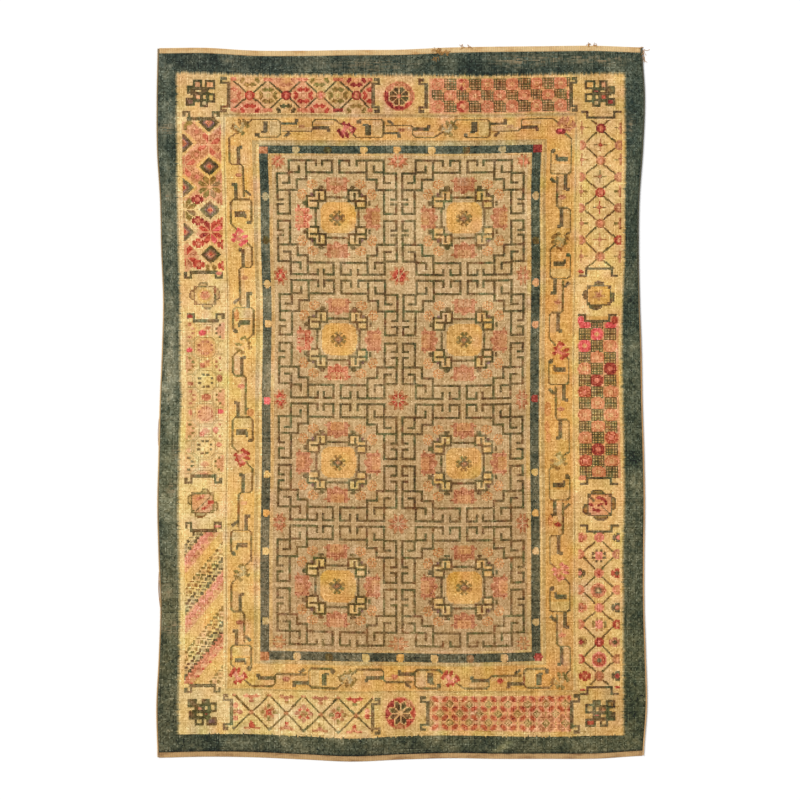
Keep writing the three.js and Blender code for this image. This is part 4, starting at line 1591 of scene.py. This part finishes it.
def grow(name, held, tree, values):
    # the tree's result as a plain mesh
    modifier = held.modifiers.new("made", "NODES")
    modifier.node_group = tree
    for socket in tree.interface.items_tree:
        if socket.name in values:
            modifier[socket.identifier] = values[socket.name]
    shaped = held.evaluated_get(bpy.context.evaluated_depsgraph_get())
    mesh = bpy.data.meshes.new_from_object(shaped)
    held.modifiers.remove(modifier)
    bpy.data.objects.remove(held)
    mesh.name = name
    return linked(name, mesh)


def tapeShell(name, end):
    # the woven tape itself: one closed flat strip that follows the rug's end
    across = np.linspace(innerAcross, 1 - innerAcross, edging["tapeSteps"] + 1)
    deep = cloth["tapeDepth"] / cloth["length"]
    high = edging["tapeBase"]
    rim = [(0.0, 0.2), (0.0, high * 0.7), (0.09, high), (0.36, high + 0.1), (0.64, high + 0.1), (0.91, high),
           (1.0, high * 0.7), (1.0, 0.2), (0.5, 0.15)]
    points = np.stack([clothLine(across, 1 - share * deep if end == "top" else share * deep, height)
                       for share, height in rim], 1)
    count, around = points.shape[:2]
    faces = []
    for a in range((count - 1) * around):
        b = a + 1 if (a + 1) % around else a + 1 - around
        faces.append([a, a + around, b + around, b] if end == "top" else [b, b + around, a + around, a])
    first, last = list(range(around)), list(range((count - 1) * around, count * around))
    faces += [first, last[::-1]] if end == "top" else [first[::-1], last]
    mesh = bpy.data.meshes.new(name)
    mesh.from_pydata(points.reshape(-1, 3).tolist(), [], faces)
    mesh.shade_smooth()
    return linked(name, mesh)


def tapeMaterial(end):
    paint, shader, place = newMaterial(end + "TapeWeave", 0.2, 0.1, 0.5, (1.0, 0.95, 0.86))
    grain = (place * (1.0, 0.35, 1.0)).noise(260, 3.0)
    soil = (place * (1.0, 3.0, 1.0)).noise(13, 4.0, 0.65)
    soil = place.add("ShaderNodeMapRange", {"Value": soil, "From Min": 0.42, "From Max": 0.72},
                     interpolation_type="SMOOTHSTEP")
    # gaps: bands of painted shade across the tape, for the gaps between its ribs
    weft, gaps = place.wave("Y", 250, 1.2), place.wave("X", 53, 0.8)
    clean, soiled = edging["tapeLooks"][end]
    looks = {"Factor": soil, 6: linear(clean), 7: linear(soiled)}
    colour = place.add("ShaderNodeMix", looks, 2, data_type="RGBA")
    dress(shader, colour * (0.6 + grain * 0.4 + weft * 0.16 + gaps * 0.24), 0.62 + grain * 0.2,
          weft * 0.7 + grain, 0.5, 0.0005)
    return paint


def cordMaterial(name, side):
    paint, shader, place = newMaterial(name, 0.2, 0.08, 0.5, (1.0, 0.94, 0.84))
    drift, grain = place.noise(22, 3.0), place.noise(420, 2.0)
    upright = place.add("ShaderNodeSeparateXYZ", {"Vector": place}, "Y")
    share = upright * (1 / (cloth["length"] * mm)) + 0.5 + (drift - 0.5) * 0.03
    colour = place.add("ShaderNodeValToRGB", {"Fac": share})
    stops = colour.socket.node.color_ramp.elements
    for number, (at, look) in enumerate(edging["cordLooks"][side]):
        stop = stops[number] if number < 2 else stops.new(at)
        stop.position, stop.color = at, linear(look)
    dress(shader, colour * (0.45 + drift * 0.7 + grain * 0.4), 0.6 + grain * 0.25, grain, 0.4, 0.0004)
    return paint


def strandHeight(x, y):
    # just above the pile, the tape or the floor
    across, along = (x + middleX) / cloth["width"] + 0.5, (y + middleY) / cloth["length"] + 0.5
    top = float(clothPoint(across, 1.0)[1]) - middleY
    left, right = (float(clothPoint(side, along)[0]) - middleX for side in (0.0, 1.0))
    if y > top or x > right or x < left:
        return edging["onFloor"]
    return edging["onTape"] if y > top - cloth["tapeDepth"] else edging["onPile"]


def looseLines():
    rng = np.random.default_rng(41)
    lines = []
    for x, y, reachX, reachY, count, length, heading, bend in edging["tufts"]:
        for _ in range(count):
            px, py = x + rng.uniform(-1, 1) * reachX, y + rng.uniform(-1, 1) * reachY
            turn = heading + rng.normal() * edging["threadTurn"]
            curl = rng.normal() * bend
            points = []
            for _ in range(edging["threadSteps"] + 1):
                points.append((px, py, strandHeight(px, py) + rng.uniform(0, edging["threadLift"])))
                px += math.cos(math.radians(turn)) * length / edging["threadSteps"]
                py += math.sin(math.radians(turn)) * length / edging["threadSteps"]
                turn += curl + rng.normal() * edging["threadWander"]
            line = np.array(points)
            line[:, 2] = np.convolve(np.pad(line[:, 2], 1, mode="edge"), [0.25, 0.5, 0.25], "valid")
            lines.append(line * mm)
    for first, last, out in edging["strays"]:
        along = np.linspace(first, last, edging["straySteps"])
        line = clothLine(0 * along, along, edging["strayHeight"])
        line[:, 0] -= np.sin(np.linspace(0, math.pi, edging["straySteps"])) * out * mm
        lines.append(line)
    return lines


ribs, cords, strands = ribTree(), cordTree(), threadTree()
slack = edging["endSlack"]
for end, seed in (("top", 5), ("bottom", 8)):
    paint = tapeMaterial(end)
    tape = tapeShell(end + "_tape", end)
    middle = cloth["tapeDepth"] / 2 / cloth["length"]
    across = np.linspace(innerAcross + slack, 1 - innerAcross - slack, 240)
    line = clothLine(across, 1 - middle if end == "top" else middle, edging["tapeBase"] + 0.05)
    ribbing = grow(end + "_tape_ribs", runOf("ribLine", [line]), ribs, {
        "Pitch": edging["ribPitch"] * mm, "Rib Width": edging["ribWidth"] * mm,
        "Rib Height": edging["ribHeight"] * mm, "Rib Length": (cloth["tapeDepth"] - edging["ribShort"]) * mm,
        "Seed": seed,
    })
    for piece in (tape, ribbing):
        finishCloth(piece, paint, end + "_end_tape")

reach = {"Thread Reach": edging["threadReach"] * mm}
tufts = grow("loose_threads", runOf("looseLines", looseLines()), strands, reach)
finishCloth(tufts, cordMaterial("looseWarp", "loose"), "top_end_tape")

for side, seed in (("left", 3), ("right", 4)):
    across = cloth["cordWidth"] / 2 / cloth["width"]
    along = np.linspace(slack, 1 - slack, 600)
    line = clothLine((across if side == "left" else 1 - across) + 0 * along, along, edging["cordMiddle"])
    cord = grow(side + "_cord", runOf("cordLine", [line]), cords, {
        "Pitch": edging["wrapPitch"] * mm, "Wrap Reach": edging["wrapReach"] * mm,
        "Thread Reach": edging["wrapThread"] * mm, "Core Reach": edging["coreReach"] * mm,
        "Core Step": edging["coreStep"] * mm, "Lean": edging["wrapLean"], "Seed": seed,
    })
    finishCloth(cord, cordMaterial(side + "CordSilk", side), side + "_side_cord")

# --- the cut sizes of the cloth
for number, (strip, (first, last)) in enumerate(zip(strips, pile["strips"])):
    length = float(np.mean(knotY[0, first:last + 1] - knotY[-1, first:last + 1])) * mm
